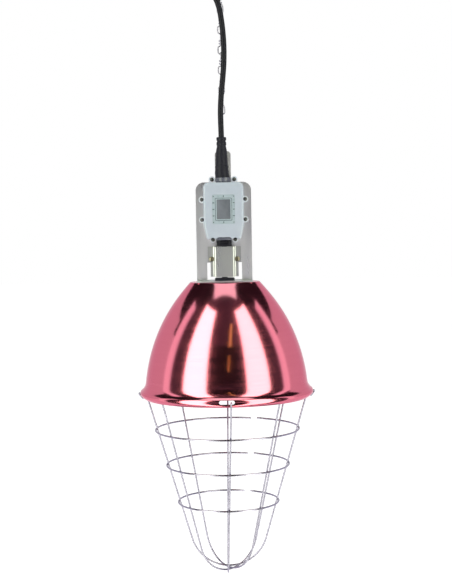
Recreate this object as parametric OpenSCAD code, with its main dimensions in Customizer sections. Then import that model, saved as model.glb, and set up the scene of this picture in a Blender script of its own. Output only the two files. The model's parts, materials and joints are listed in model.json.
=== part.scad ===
// Infrared heat lamp with a wire guard, a bracket with a control box, and a knotted chain.
// Origin: the inside top of the upper hook, where a peg carries the lamp. +Z is up, the front is -Y.
// Heights named "over the top" are measured from the flat top of the reflector.

/* [Hanging] */
// Thickness of the hook wire
hook_wire = 2.8; // [2.4:0.2:3.0]
// Overall length of each hook
hook_length = 57; // [54:1:62]
// Bend radius of the eye that goes over a peg, to the middle of the wire
peg_eye_r = 9; // [8:0.5:11]
// Bend radius of the closed eyes, to the middle of the wire
eye_r = 4.6; // [4.5:0.1:5.2]
// Thickness of the chain wire
chain_wire = 1.6; // [1.4:0.1:1.8]
// Distance from one chain link to the next
chain_pitch = 24; // [23:0.5:26]
// Length of the lower loop of a link, from its knot to the middle of the wire
loop_down = 14.5; // [13.5:0.5:15]
// Half width of a link's loops, to the middle of the wire
loop_half_w = 3.4; // [3.2:0.1:3.8]
// Number of links
link_count = 13; // [13:1:15]

/* [Bracket] */
// Width of the bracket plate
plate_w = 67; // [62:1:74]
// Height of the plate over the top
plate_h = 120; // [118:1:126]
// Thickness of the bracket sheet
plate_t = 1.5; // [1.2:0.1:2]
// Radius of the plate's upper corners
plate_corner_r = 10; // [6:1:14]
// Width of the tongue that takes the hook
tongue_w = 19; // [17:1:22]
// Height of the tongue over the top
tongue_h = 157; // [155:1:160]
// Diameter of the hole in the tongue
tongue_hole_d = 7; // [6:0.5:8]
// Depth of the foot that rests on the reflector
foot_depth = 27; // [25:1:29]
// Width of the window in the plate
window_w = 42; // [40:1:44]
// Height of the window's upper edge over the top
window_top = 23; // [20:1:24]

/* [Cable cover] */
// Width of the cover's front
cover_front_w = 24; // [22:1:26]
// Width across the cover's screw ears
cover_ear_w = 40; // [39:0.5:41]
// Upper end of the cover over the top
cover_top = 42.4; // [40:0.2:43]
// Lower end of the cover over the top
cover_bottom = 6; // [5.5:0.5:8]
// Thickness of the cover's sheet
cover_t = 1; // [0.8:0.1:1.2]

/* [Control box] */
// Width of the box
box_w = 48; // [46:1:50]
// Lower end of the box over the top
box_bottom = 51; // [50:0.5:52]
// Upper end of the box over the top
box_top = 119; // [116:1:122]
// Depth of the box in front of the plate
box_depth = 26; // [25:0.5:30]
// Wall of the box
box_wall = 2; // [1.6:0.2:2.4]
// Radius of the screw ears
ear_r = 3.9; // [3.4:0.1:4]
// Radius of the holes in the screw ears
ear_hole_r = 1.6; // [1.4:0.1:1.8]
// Width and height of the sunk field on the front
field_size = [27, 35]; // [20:0.5:40]
// Width and height of the clear window in that field
pane_size = [16.4, 23.6]; // [10:0.2:28]

/* [Reflector] */
// Radius of the flat top
shade_top_r = 43; // [42:1:46]
// Radius of the bell just above its rim
bell_r = 98.4; // [96:0.2:102]
// Height of the bell above its rim
bell_h = 122; // [118:1:130]
// Greatest radius of the rolled rim
rim_r = 105.2; // [104:0.2:108]
// Height of the rolled rim
rim_h = 18.5; // [17:0.5:20]
// Thickness of the spun sheet
shade_wall = 1; // [0.8:0.1:1.2]

/* [Guard] */
// Thickness of the guard wire
guard_wire = 2.2; // [1.8:0.1:2.6]
// Radius at which the guard's wires stand at the highest ring
guard_top_r = 85.1; // [82:0.5:87]
// Radius at which they stand at the lowest ring
guard_low_r = 58.9; // [54:0.5:62]
// Depth of the three rings under the top
ring_depths = [179.7, 223, 268.5]; // [170:0.5:280]
// Depth of the guard's lowest loop under the top
guard_depth = 355.6; // [345:1:370]
// Gap between the two ends of a ring
ring_gap = 6.5; // [4:0.5:10]

/* [Cord] */
// Diameter of the cord
cord_d = 6.8; // [6.6:0.1:7]
// Turns of the stored coil
coil_turns = 9.25; // [7.25:1:9.25]
// Radius of the coil at the middle of its turns
coil_mid_r = 37.5; // [37:0.5:38]
// Height of the strain relief over the top
relief_top = 173; // [171:1:175]
// Diameter of the strain relief at the box
relief_d = 17.5; // [16:0.5:18]

/* [Lampholder] */
// Radius inside the screw shell, for a large screw base
shell_r = 13.3; // [13.2:0.1:13.5]
// Length of the screw shell
shell_len = 22; // [20:1:24]
// Radius of the porcelain skirt
skirt_r = 19.6; // [18.6:0.2:21]
// Depth of the lampholder's mouth under the top
holder_mouth = 52; // [50:1:56]

/* [Hidden] */
// Clearances
play = 0.3;
slip = 0.1;
fine = 64;

// Chain, from the origin down
loop_up = chain_pitch + chain_wire + play - loop_down;
hang_hook_low = hook_wire - hook_length;
first_knot = hang_hook_low + hook_wire + play + chain_wire / 2 - loop_up;
last_knot = first_knot - chain_pitch * (link_count - 1);
lamp_hook_top = last_knot - loop_down + chain_wire / 2 + play + hook_wire;
lamp_hook_low = lamp_hook_top - hook_length;
hole_over_top = tongue_h - 6;
top_z = lamp_hook_low + hook_wire + play - hole_over_top;

// Knot of a link: two close wraps round a straight core
wrap_r = chain_wire * 1.1;
wrap_rise = chain_wire + 0.25;
wrap_steps = 7;
wrap_low = chain_wire / 2 + 0.15;
wrap_high = wrap_low + wrap_rise;
neck = wrap_high + chain_wire / 2 + 0.2;

// Bracket, front faces and bends
plate_front = -plate_t / 2;
foot_bend_r = 2;
tab_depth = 20;
window_bottom = 2.2;
hole_over_tongue = hole_over_top - tongue_hole_d / 2;
rivets = [[29.5, -8], [22, -20], [-29.5, -8], [-22, -20], [0, 12]];
rivet_hole_r = 2;
rivet_head_r = 3;
rivet_head_h = 1.2;

// Cable between the box and the lampholder
cable_y = -11.5;
cable_top = box_bottom + 3;
cable_low = -9;
cover_depth = -(cable_y - cord_d / 2 - play - cover_t) + plate_front;
cover_skirt_w = 33.8;
cover_screws_at = [15.6, 27.2];
cover_screw_head_r = 3.1;
cover_screw_head_h = 1.9;
cover_screw_r = 1.5;
grommet_size = [24, 14];
grommet_hole = [20, 10.4];
grommet_h = 3.6;

// Control box
tray_depth = 4.5;
gasket_t = 1;
box_front = plate_front - box_depth;
tray_front = plate_front - tray_depth;
lid_back = tray_front - gasket_t;
box_corners = [
  [box_w / 2 - 6, box_top - 6, 6],
  [box_w / 2 - 8, box_bottom + 18, 8],
  [box_w / 2 - 6.1, box_bottom + 3, 3],
];
relief_y = -14.5;
ears = [[13.4, box_top + 3.8], [26, 99], [26, 74.8], [13.4, box_bottom - 0.1]];
ear_t = 5;
ear_seat = lid_back - ear_t + 1.4;
ear_screw_r = 1.3;
ear_screw_head_r = 2.3;
field_z = 87;
field_sink = 0.7;
pane_sink = 0.5;
dot_r = 0.7;
dot_columns = 12.1;
dot_pitch = 7.7;
dot_sink = 0.4;
back_screws_at = [[14, 66], [14, 104]];
back_screw_r = 1.5;
back_screw_head_r = 2.8;
neck_r = 7;
gland_size = [18.7, 10];
gland_low = 42.7;
gland_back = cable_y + gland_size[1] / 2;
gland_block_low = box_bottom - 1.5;
gland_corner_r = 3.5;
notch_top = box_bottom + 2.8;
board_size = [32, 44];
board_z = 84;
board_t = 1.6;
board_back = tray_front - 5;
board_front = board_back - board_t;
post_r = 2.5;

// Reflector outline: a bell curve, a flare and a rolled rim
bell_reach = bell_r - 8.6;
bell_shoulder = -41.4;
rim_top = -bell_h;
rim_mid = -bell_h - 12;
rim_low = -bell_h - rim_h;
lip_r = rim_r - 4.8;
slot_size = [18, 4.6];
slot_z = rim_mid + 0.6;
cable_hole_r = 7.6;

// Lampholder
strap_r = 34;
strap_t = 1.2;
strap_low = -shade_wall - strap_t;
flange_t = 8;
flange_low = strap_low - flange_t;
chamber_r = 17;
chamber_low = -18;
bore_r = shell_r + 0.6 + play;
web_low = -24;
shell_t = 0.6;
shell_top = web_low - slip - shell_t;
shell_low = shell_top - shell_len;
holder_screw_head_r = 2.3;
holder_screw_at = skirt_r + holder_screw_head_r + 1;
flange_r = holder_screw_at + 2.7;
contact_r = 4.5;
contact_stem_r = 2.7;
contact_hole_r = contact_stem_r + play;
contact_travel = 1.5;
contact_top = web_low - contact_travel - play;
contact_t = 1.6;
thread_top = contact_top - contact_t - 0.4;
shell_neck_r = shell_r - 1.2;

// Guard
guard_slope = (guard_top_r - guard_low_r) / (ring_depths[2] - ring_depths[0]);
guard_angle = atan(guard_slope);
loop_headings = [90, 39, -51, 0];
loop_step = guard_wire + 0.1;
hook_leg_z = slot_z - 1.1;
hook_reach = rim_r + 1.7;
hook_tip_r = lip_r + 1.6;
hook_tip_z = rim_low - 1.4;
ring_seat = 0.05;
ring_gap_at = 67;

// Coil of cord: four layers that wind in and out, seen from the front they run clockwise
coil_layers = 4;
coil_step = cord_d + 0.5;
coil_leg = coil_turns / coil_layers;
coil_out_r = coil_mid_r + coil_step * coil_leg / 2;
coil_back_y = -12;
coil_points = 24;
third_knot = first_knot - 2 * chain_pitch;
coil_z = third_knot - coil_mid_r + 3;
tie_t = 1.2;
tie_w = 3;
tie_low = coil_z + coil_mid_r - (coil_out_r - coil_mid_r) - cord_d / 2 - 1.2;
tie_high = coil_z + coil_out_r + cord_d / 2 + 1.2;
tie_back = loop_half_w + chain_wire / 2 + 0.5;
tie_front = coil_back_y - coil_step * (coil_layers - 1) - cord_d / 2 - 0.5;

// Route of the free cord from the strain relief up to the coil: across, back, height over the top
lead_route = [
  [0, -14.5, 173.1],
  [0, -14.5, 181],
  [-1.5, -14, 192],
  [-2.5, -13, 205],
  [-1, -12.5, 222],
  [1.5, -12, 240],
  [3.5, -12, 258],
  [4, -12, 276],
  [3, -12, 294],
  [0.5, -12, 312],
  [-3.5, -12, 328],
  [-9.5, -12, 342],
  [-18.5, -12, 357],
  [-29, -12, 372],
  [-38, -12, 386],
  [-43.5, -12, 398.5],
  [-45.9, -12, 407.4],
  [-45.9, -12, 413.9],
];
// Route of the short tail from the coil to the plug: across, front, height over the coil's centre
tail_route = [
  [7, -33.9, 45.9],
  [14, -33.9, 45.9],
  [24, -33.9, 45.5],
  [34, -33.9, 43.5],
  [44, -33.9, 39.5],
  [53, -33.9, 33],
  [60, -33.9, 24],
  [64, -33.9, 14],
  [66, -33.9, 4],
  [66, -33.9, -3],
  [66, -33.9, -9.5],
];

// Plug
plug_at = [66, -33.9, -4];
plug_relief_h = 22;
plug_r = 19;
plug_h = 36;
pin_r = 2.4;
pin_root_r = 2.2;
pin_len = 19;
pin_spacing = 19;

LINKS = [for (i = [1 : link_count]) str("chain_link_", i)];

// Directions and tubes

function unit(v) = v / norm(v);

function heading(path, i) =
  i == 0 ? unit(path[1] - path[0])
  : i == len(path) - 1 ? unit(path[i] - path[i - 1])
  : unit(unit(path[i + 1] - path[i]) + unit(path[i] - path[i - 1]));

function squared(side, along) = unit(side - (side * along) * along);

// One side direction for each point of a path, carried along it without a twist
function sides_along(path, first) = [
  for (i = 0, side = squared(first, heading(path, 0));
       i < len(path);
       i = i + 1, side = i < len(path) ? squared(side, heading(path, i)) : side)
    side
];

function ring_points(path, first, wire, sides) =
  let (normals = sides_along(path, first))
  [
    for (i = [0 : len(path) - 1], j = [0 : sides - 1])
      let (turn = 360 * (j + 0.5) / sides)
      path[i]
        + wire / 2 * cos(turn) * normals[i]
        + wire / 2 * sin(turn) * cross(heading(path, i), normals[i])
  ];

function skin_faces(rings, sides) = [
  for (i = [0 : rings - 2], j = [0 : sides - 1], half = [0, 1])
    let (a = i * sides + j, b = i * sides + (j + 1) % sides)
    half == 0 ? [a, a + sides, b + sides] : [a, b + sides, b]
];

function cap_faces(rings, sides) = [
  for (j = [1 : sides - 2], last = [0, 1])
    let (e = (rings - 1) * sides)
    last == 0 ? [0, j, j + 1] : [e, e + j + 1, e + j]
];

// A round tube along a path. first is any direction square to the path's start.
module tube(path, wire, sides, first = [1, 0, 0]) {
  polyhedron(
    points = ring_points(path, first, wire, sides),
    faces = concat(skin_faces(len(path), sides), cap_faces(len(path), sides)),
    convexity = 10
  );
}

function arc(centre, r, from, to, steps) = [
  for (i = [0 : steps])
    let (a = from + (to - from) * i / steps)
    [centre[0] + r * cos(a), centre[1] + r * sin(a)]
];

module over_top() {
  translate([0, 0, top_z])
    children();
}

// Stands a flat outline, drawn in X and Z, up in front of the plate and gives it a depth towards the front
module upright(back, depth) {
  translate([0, back, 0])
    rotate([90, 0, 0])
      linear_extrude(depth)
        children();
}

// Hooks and chain

// The middle line of an S-hook in its own plane, from the upper tip to the lower one
function hook_line(upper_r, lower_r) =
  let (
    upper = [0, hook_wire / 2 - upper_r],
    lower = [0, hang_hook_low + hook_wire / 2 + lower_r]
  )
  concat(
    arc(upper, upper_r, -35, 180, 11),
    arc(lower, lower_r, 0, -200, 11)
  );

// Hook whose eyes lie one above the other; the upper eye's inside top is at the height 0
module s_hook(upper_r, lower_r) {
  line = hook_line(upper_r, lower_r);
  tube([for (p = line) [p[0], 0, p[1]]], hook_wire, 8, [0, 1, 0]);
}

module hanging_hook() {
  color("silver")
    s_hook(peg_eye_r, eye_r);
}

module lamp_hook() {
  color("silver")
    translate([0, 0, lamp_hook_top - hook_wire])
      rotate([0, 0, 90])
        s_hook(eye_r, eye_r);
}

// Half of a link above its knot: wraps, loop and the way back into the core
function half_link(length) = concat(
  [
    for (i = [0 : wrap_steps])
      let (a = 90 - 360 + 360 * i / wrap_steps)
      [wrap_r * cos(a), wrap_r * sin(a), wrap_low + wrap_rise * i / wrap_steps]
  ],
  [[0, loop_half_w - 0.4, neck + 1.9]],
  [for (p = arc([0, length - loop_half_w], loop_half_w, 0, 180, 5)) [0, p[0], p[1]]],
  [
    [0, -loop_half_w + 0.2, neck + 2.6],
    [0, -loop_half_w * 0.45, neck + 1.2],
    [0, 0, neck],
  ]
);

function turned(p) = [p[1], p[0], -p[2]];

// The wire of one link, from one cut end to the other, round the knot at its middle
function link_line() =
  let (
    upper = half_link(loop_up),
    lower = half_link(loop_down),
    last = len(lower) - 1
  )
  concat(upper, [for (i = [0 : last]) turned(lower[last - i])]);

module chain_link(number) {
  color("silver")
    translate([0, 0, first_knot - chain_pitch * (number - 1)])
      tube(link_line(), chain_wire, 6, [0, 0, 1]);
}

// Bracket

module plate_outline() {
  difference() {
    union() {
      translate([-plate_w / 2, foot_bend_r])
        square([plate_w, plate_h - foot_bend_r - plate_corner_r]);
      translate([-plate_w / 2 + plate_corner_r, foot_bend_r])
        square([plate_w - 2 * plate_corner_r, plate_h - foot_bend_r]);
      for (x = [-1, 1])
        translate([x * (plate_w / 2 - plate_corner_r), plate_h - plate_corner_r])
          circle(plate_corner_r, $fn = fine);
      translate([-tongue_w / 2, plate_h - 1])
        square([tongue_w, tongue_h - plate_h - 3]);
      translate([-tongue_w / 2 + 4, plate_h - 1])
        square([tongue_w - 8, tongue_h - plate_h + 1]);
      for (x = [-1, 1])
        translate([x * (tongue_w / 2 - 4), tongue_h - 4])
          circle(4, $fn = fine);
    }
    translate([-window_w / 2, window_bottom])
      square([window_w, window_top - window_bottom]);
    translate([0, hole_over_tongue])
      circle(tongue_hole_d / 2, $fn = fine);
    for (x = [-1, 1])
      translate([x * cover_screws_at[0], cover_screws_at[1]])
        circle(cover_screw_r + slip, $fn = fine);
    for (x = [-1, 1], at = back_screws_at)
      translate([x * at[0], at[1]])
        circle(back_screw_r + slip, $fn = fine);
  }
}

// The quarter bend and the flat foot, drawn as seen from the side
module foot_profile() {
  difference() {
    translate([plate_t / 2 - foot_bend_r, foot_bend_r])
      circle(foot_bend_r, $fn = fine);
    translate([plate_t / 2 - foot_bend_r, foot_bend_r])
      circle(foot_bend_r - plate_t, $fn = fine);
    translate([plate_t / 2 - 2 * foot_bend_r - 1, 0])
      square([foot_bend_r + 1, 2 * foot_bend_r + 1]);
    translate([plate_t / 2 - foot_bend_r - 1, foot_bend_r])
      square([foot_bend_r + 2, foot_bend_r + 1]);
  }
  translate([plate_t / 2 - foot_bend_r - foot_depth, 0])
    square([foot_depth, plate_t]);
}

module bracket_plate() {
  color([0.72, 0.71, 0.69])
    over_top() {
      difference() {
        union() {
          upright(plate_t / 2, plate_t)
            plate_outline();
          translate([-plate_w / 2, 0, 0])
            rotate([90, 0, 90])
              linear_extrude(plate_w)
                foot_profile();
          translate([-window_w / 2 + play, -foot_bend_r, 0])
            cube([window_w - 2 * play, tab_depth + foot_bend_r, plate_t]);
        }
        translate([0, cable_y, -1])
          linear_extrude(plate_t + 2)
            rounded(grommet_hole);
        for (at = rivets)
          translate([at[0], at[1], -1])
            cylinder(h = plate_t + 2, r = rivet_hole_r, $fn = fine);
      }
    }
}

// A flat shape with half-round ends, centred, longer along X
module rounded(size) {
  square([size[0] - size[1], size[1]], center = true);
  for (x = [-1, 1])
    translate([x * (size[0] - size[1]) / 2, 0])
      circle(size[1] / 2, $fn = fine);
}

module foot_rivets() {
  color([0.75, 0.75, 0.75])
    over_top()
      for (at = rivets)
        translate([at[0], at[1], 0]) {
          translate([0, 0, strap_low])
            cylinder(h = plate_t - strap_low, r = rivet_hole_r - slip, $fn = fine);
          translate([0, 0, plate_t])
            cylinder(h = rivet_head_h, r1 = rivet_head_r, r2 = rivet_head_r - 1.2, $fn = fine);
          translate([0, 0, strap_low - rivet_head_h])
            cylinder(h = rivet_head_h, r1 = rivet_head_r - 1, r2 = rivet_head_r - 0.4, $fn = fine);
        }
}

// Cable cover: a hat-shaped channel with two screw ears

// The right half of the cover's section, from the middle of its front to its flange and back
function half_section(outer) =
  let (half = cover_front_w / 2, t = cover_t, bend = 1.4)
  concat(
    [[0, cover_depth], [half - bend, cover_depth], [half, cover_depth - bend], [half, t + bend]],
    [[half + bend * 0.3, t + bend * 0.3], [half + bend, t], [outer, t], [outer, 0], [half + bend, 0]],
    [[half - t * 0.3, t * 0.7], [half - t, t + bend], [half - t, cover_depth - bend]],
    [[half - bend, cover_depth - t], [0, cover_depth - t]]
  );

module cover_section(outer) {
  right = half_section(outer);
  polygon(right);
  mirror([1, 0])
    polygon(right);
}

module cable_cover() {
  color([0.75, 0.74, 0.72])
    over_top()
      difference() {
        union() {
          translate([0, plate_front, cover_bottom])
            mirror([0, 1, 0])
              linear_extrude(cover_top - cover_bottom)
                cover_section(cover_skirt_w / 2);
          translate([0, plate_front, window_top + 0.6])
            mirror([0, 1, 0])
              linear_extrude(cover_top - window_top - 0.6)
                cover_section(cover_ear_w / 2);
        }
        for (x = [-1, 1])
          translate([x * cover_screws_at[0], plate_front + 1, cover_screws_at[1]])
            rotate([90, 0, 0])
              cylinder(h = cover_t + 2, r = cover_screw_r + slip, $fn = fine);
        for (x = [-1, 1])
          translate([x * cover_screws_at[0], plate_front - cover_t, cover_screws_at[1]])
            rotate([90, 0, 0])
              cylinder(h = 3, r = cover_screw_head_r + 0.2, $fn = fine);
      }
}

// A pan-headed screw that points backwards from the height 0 of its seat
module pan_screw(shaft_r, shaft_len, head_r, head_h) {
  rotate([90, 0, 0]) {
    translate([0, 0, -shaft_len])
      cylinder(h = shaft_len, r = shaft_r, $fn = fine);
    difference() {
      cylinder(h = head_h, r1 = head_r, r2 = head_r * 0.72, $fn = fine);
      for (a = [0, 90])
        rotate([0, 0, a])
          translate([-head_r * 0.45, -0.35, head_h - 0.7])
            cube([head_r * 0.9, 0.7, 1]);
    }
  }
}

module cable_cover_screws() {
  color("silver")
    over_top()
      for (x = [-1, 1])
        translate([x * cover_screws_at[0], plate_front - cover_t, cover_screws_at[1]])
          pan_screw(cover_screw_r, cover_t + plate_t + 2, cover_screw_head_r, cover_screw_head_h);
}

// Control box

// Outline of the box with its narrowed lower end, drawn inwards by a margin
module box_outline(margin) {
  step = box_corners[1] - box_corners[2];
  taper = asin(step[2] / norm([step[0], step[1]])) + atan(step[0] / step[1]);
  turns = [[90, 0, 8], [0, -taper, 2], [-taper, -90, 6]];
  right = [
    for (i = [0 : 2])
      let (corner = box_corners[i], turn = turns[i])
      each arc([corner[0], corner[1]], corner[2] - margin, turn[0], turn[1], turn[2])
  ];
  polygon(concat(right, [for (i = [len(right) - 1 : -1 : 0]) [-right[i][0], right[i][1]]]));
}

module ear_outline() {
  for (x = [-1, 1], at = ears) {
    toward = ear_toward(at);
    translate([x * at[0], at[1]])
      circle(ear_r, $fn = fine);
    translate([x * (at[0] + toward[0] / 2), at[1] + toward[1] / 2])
      square([max(abs(toward[0]), 2 * ear_r * sign(abs(toward[1]))),
              max(abs(toward[1]), 2 * ear_r * sign(abs(toward[0])))], center = true);
  }
}

// How far an ear reaches back into the box wall
function ear_toward(at) = at[0] > 20 ? [-4.5, 0] : [0, at[1] > field_z ? -5 : 3.5];

// The hollow of the box, with a post left standing for each screw that falls inside it
module box_hollow() {
  difference() {
    box_outline(box_wall);
    ear_holes(ear_r);
  }
}

module ear_holes(r) {
  for (x = [-1, 1], at = ears)
    translate([x * at[0], at[1]])
      circle(r, $fn = fine);
}

module box_tray() {
  color([0.86, 0.9, 0.93])
    over_top() {
      difference() {
        upright(plate_front, tray_depth)
          difference() {
            union() {
              box_outline(0);
              ear_outline();
            }
            ear_holes(ear_screw_r + slip);
          }
        upright(plate_front - box_wall, tray_depth)
          box_hollow();
        upright(plate_front + 1, tray_depth)
          for (x = [-1, 1], at = back_screws_at)
            translate([x * at[0], at[1]])
              circle(back_screw_r + slip, $fn = fine);
      }
      for (x = [-1, 1], z = [-1, 1])
        translate([x * (board_size[0] / 2 - 3), plate_front - box_wall + 0.5, board_z + z * (board_size[1] / 2 - 9)])
          rotate([90, 0, 0])
            cylinder(h = plate_front - box_wall + 0.5 - board_back - slip, r = post_r, $fn = fine);
    }
}

module box_gasket() {
  color([0.2, 0.2, 0.22])
    over_top()
      upright(tray_front - slip / 2, gasket_t - slip)
        difference() {
          box_outline(0.2);
          box_outline(box_wall - 0.2);
          ear_holes(ear_hole_r);
        }
}

module field_frame(size, line) {
  difference() {
    square(size, center = true);
    square(size - [2 * line, 2 * line], center = true);
  }
}

// Twelve small marks round the clear window: five a side, and one above and below
module field_dots() {
  for (x = [-1, 1], i = [-2 : 2])
    translate([x * dot_columns, i * dot_pitch])
      circle(dot_r, $fn = 16);
  for (z = [-1, 1])
    translate([0, z * 2 * dot_pitch])
      circle(dot_r, $fn = 16);
}

module box_lid() {
  color([0.84, 0.9, 0.95])
    over_top()
      difference() {
        union() {
          upright(lid_back, box_depth - tray_depth - gasket_t - 2)
            box_outline(0);
          upright(box_front + 2, 1)
            box_outline(0.5);
          upright(box_front + 1, 1)
            box_outline(1.4);
          upright(lid_back, ear_t)
            ear_outline();
        }
        upright(lid_back + 2, box_depth - tray_depth - gasket_t - box_wall + 2)
          box_hollow();
        upright(lid_back + 1, ear_t + 2)
          ear_holes(ear_hole_r);
        upright(ear_seat, box_depth)
          ear_holes(ear_screw_head_r + 0.2);
        upright(box_front + field_sink, 2)
          translate([0, field_z])
            square(field_size, center = true);
        upright(box_front + field_sink + pane_sink, 2)
          translate([0, field_z])
            square(pane_size, center = true);
        upright(box_front + field_sink + dot_sink, 2)
          translate([0, field_z])
            field_dots();
        translate([0, relief_y, box_top - box_wall - 1])
          cylinder(h = box_wall + 2, r = neck_r + slip, $fn = fine);
        upright(lid_back + 1, box_depth)
          notch_outline(box_bottom - 6, slip);
      }
}

// The notch at the lower end of the lid, and the gland's block in it: flat below, with round upper corners
module notch_outline(low, margin) {
  half = gland_size[0] / 2 + margin;
  high = notch_top - slip + margin;
  polygon(concat(
    [[-half, low], [half, low]],
    arc([half - gland_corner_r, high - gland_corner_r], gland_corner_r, 0, 90, 6),
    arc([gland_corner_r - half, high - gland_corner_r], gland_corner_r, 90, 180, 6)
  ));
}

module lid_screws() {
  color([0.35, 0.36, 0.38])
    over_top()
      for (x = [-1, 1], at = ears)
        translate([x * at[0], ear_seat - slip, at[1]])
          pan_screw(ear_screw_r, plate_front - ear_seat - 0.8, ear_screw_head_r, 1.1);
}

// Four screws from behind the plate into the tray
module tray_screws() {
  color("silver")
    over_top()
      for (x = [-1, 1], at = back_screws_at)
        translate([x * at[0], plate_t / 2, at[1]])
          rotate([0, 0, 180])
            pan_screw(back_screw_r, plate_t + 3.2, back_screw_head_r, 1.6);
}

module circuit_board() {
  color([0.15, 0.4, 0.25])
    over_top()
      upright(board_back, board_t)
        translate([0, board_z])
          square(board_size, center = true);
}

// A block that stands on the front of the board
module on_board(x, z, size) {
  over_top()
    translate([x - size[0] / 2, board_front - size[1], z - size[2] / 2])
      cube(size);
}

module triac() {
  color([0.12, 0.12, 0.13])
    on_board(-4, 88, [10, 4, 14]);
}

module heat_spreader() {
  color("silver")
    over_top()
      translate([-10, board_front - 5.2, 80.5])
        difference() {
          cube([13, 1.1, 15]);
          translate([6, -1, 12])
            rotate([-90, 0, 0])
              cylinder(h = 4, r = 1.6, $fn = fine);
        }
}

module capacitor() {
  color([0.75, 0.7, 0.3])
    on_board(9, 89, [8, 8, 15]);
}

module choke() {
  color([0.75, 0.45, 0.2])
    over_top()
      translate([8, board_front - 2.1 - slip, 74.6])
        rotate([90, 0, 0])
          rotate_extrude($fn = fine)
            translate([4.2, 0])
              circle(2.1, $fn = 24);
}

module terminal_block(x, z, poles) {
  over_top()
    translate([x - poles * 5 / 2, board_front - 9, z - 4])
      difference() {
        cube([poles * 5, 9, 8]);
        for (i = [0 : poles - 1])
          translate([2.5 + 5 * i, -1, 4])
            rotate([-90, 0, 0])
              cylinder(h = 5, r = 1.5, $fn = fine);
      }
}

module input_terminals() {
  color([0.2, 0.45, 0.3])
    terminal_block(0, 101.5, 3);
}

module output_terminals() {
  color([0.2, 0.45, 0.3])
    terminal_block(-5, 66.5, 3);
}

// Three cores down from the cord to the upper block and three up from the cable to the lower one
module box_wires() {
  color([0.3, 0.25, 0.2])
    over_top()
      for (i = [-1, 0, 1]) {
        tube([
          [2.6 * i, relief_y, 113], [2.6 * i, relief_y, 112], [3.4 * i, relief_y, 110],
          [5 * i, relief_y - 0.5, 107.5], [5 * i, relief_y - 0.5, 105.7],
        ], 2.2, 6);
        tube([
          [2.6 * i, cable_y, cable_top + 0.3], [2.6 * i, cable_y, cable_top + 1.2],
          [3 * i - 1.5, cable_y - 1, cable_top + 3.4],
          [5 * i - 5, cable_y - 3, cable_top + 6], [5 * i - 5, cable_y - 3, cable_top + 8.3],
        ], 2.2, 6);
      }
}

// The cord inside the strain relief
module cord_entry() {
  color([0.05, 0.05, 0.06])
    over_top()
      translate([0, relief_y, 113.3])
        cylinder(h = relief_top - 113.5, r = cord_d / 2, $fn = fine);
}

// Rubber pieces

// Tapered sleeve with two ribs at its tip and a flanged neck in the lid
module strain_relief() {
  color([0.08, 0.08, 0.09])
    over_top()
      translate([0, relief_y, 0])
        rotate_extrude($fn = fine)
          polygon([
            [cord_d / 2 + slip, box_top - box_wall - 2], [neck_r + 1.6, box_top - box_wall - 2],
            [neck_r + 1.6, box_top - box_wall - slip], [neck_r, box_top - box_wall - slip],
            [neck_r, box_top + slip], [relief_d / 2 + 0.6, box_top + slip],
            [relief_d / 2 + 0.6, box_top + 4], [relief_d / 2, box_top + 5],
            [relief_d / 2 - 0.5, relief_top - 32], [6.7, relief_top - 17],
            [5.3, relief_top - 10], [5.9, relief_top - 9.4], [5.9, relief_top - 6.2],
            [5.2, relief_top - 5.6], [5.2, relief_top - 4.2], [5.9, relief_top - 3.6],
            [5.9, relief_top - 0.6], [5.3, relief_top], [cord_d / 2 + slip, relief_top],
          ]);
}

module outlet_gland() {
  color([0.08, 0.08, 0.09])
    over_top()
      difference() {
        union() {
          translate([0, cable_y, gland_low])
            linear_extrude(gland_block_low + 0.5 - gland_low)
              rounded(gland_size);
          upright(gland_back, gland_back - box_front - 0.4)
            notch_outline(gland_block_low, 0);
          upright(gland_back - 0.2, gland_back - box_front - box_wall - 0.4)
            translate([-10, box_bottom + box_wall + slip])
              square([20, 1]);
        }
        translate([0, cable_y, gland_low - 1])
          cylinder(h = 20, r = cord_d / 2 + slip, $fn = fine);
      }
}

module link_cable() {
  color([0.06, 0.06, 0.07])
    over_top()
      translate([0, cable_y, cable_low])
        cylinder(h = cable_top - cable_low, r = cord_d / 2, $fn = fine);
}

module foot_grommet() {
  color([0.08, 0.08, 0.09])
    over_top()
      translate([0, cable_y, 0])
        difference() {
          union() {
            translate([0, 0, plate_t + slip])
              linear_extrude(grommet_h)
                rounded(grommet_size);
            linear_extrude(plate_t + 1)
              rounded(grommet_hole - [2 * slip, 2 * slip]);
          }
          translate([0, 0, -1])
            cylinder(h = 10, r = cord_d / 2 + slip, $fn = fine);
        }
}

// Reflector

function bezier(p, t) =
  pow(1 - t, 3) * p[0] + 3 * t * pow(1 - t, 2) * p[1] + 3 * t * t * (1 - t) * p[2] + pow(t, 3) * p[3];

bell_curve = [[shade_top_r, 0], [shade_top_r, -4.7], [bell_reach, bell_shoulder], [bell_r, rim_top]];

function bell_points(steps) = [for (i = [0 : steps]) bezier(bell_curve, i / steps)];

// The outer outline of the reflector from the flat top to the hem
function shade_outline() = concat(
  bell_points(12),
  [
    [bell_r + 1.4, rim_top - 3.6],
    [bell_r + 3.7, rim_top - 6.6],
    [rim_r - 0.9, rim_mid + 3.4],
    [rim_r - 0.1, rim_mid + 1.2],
    [rim_r, rim_mid],
    [rim_r - 0.8, rim_mid - 2.2],
    [lip_r + 2.2, rim_low + 2.2],
    [lip_r + 0.4, rim_low + 0.3],
    [lip_r - 0.6, rim_low],
  ]
);

// The same outline moved inwards by the thickness of the sheet
function inset(line, by) = [
  for (i = [0 : len(line) - 1])
    let (
      before = line[max(i - 1, 0)],
      after = line[min(i + 1, len(line) - 1)],
      along = unit(after - before)
    )
    line[i] + by * [along[1], -along[0]]
];

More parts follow.
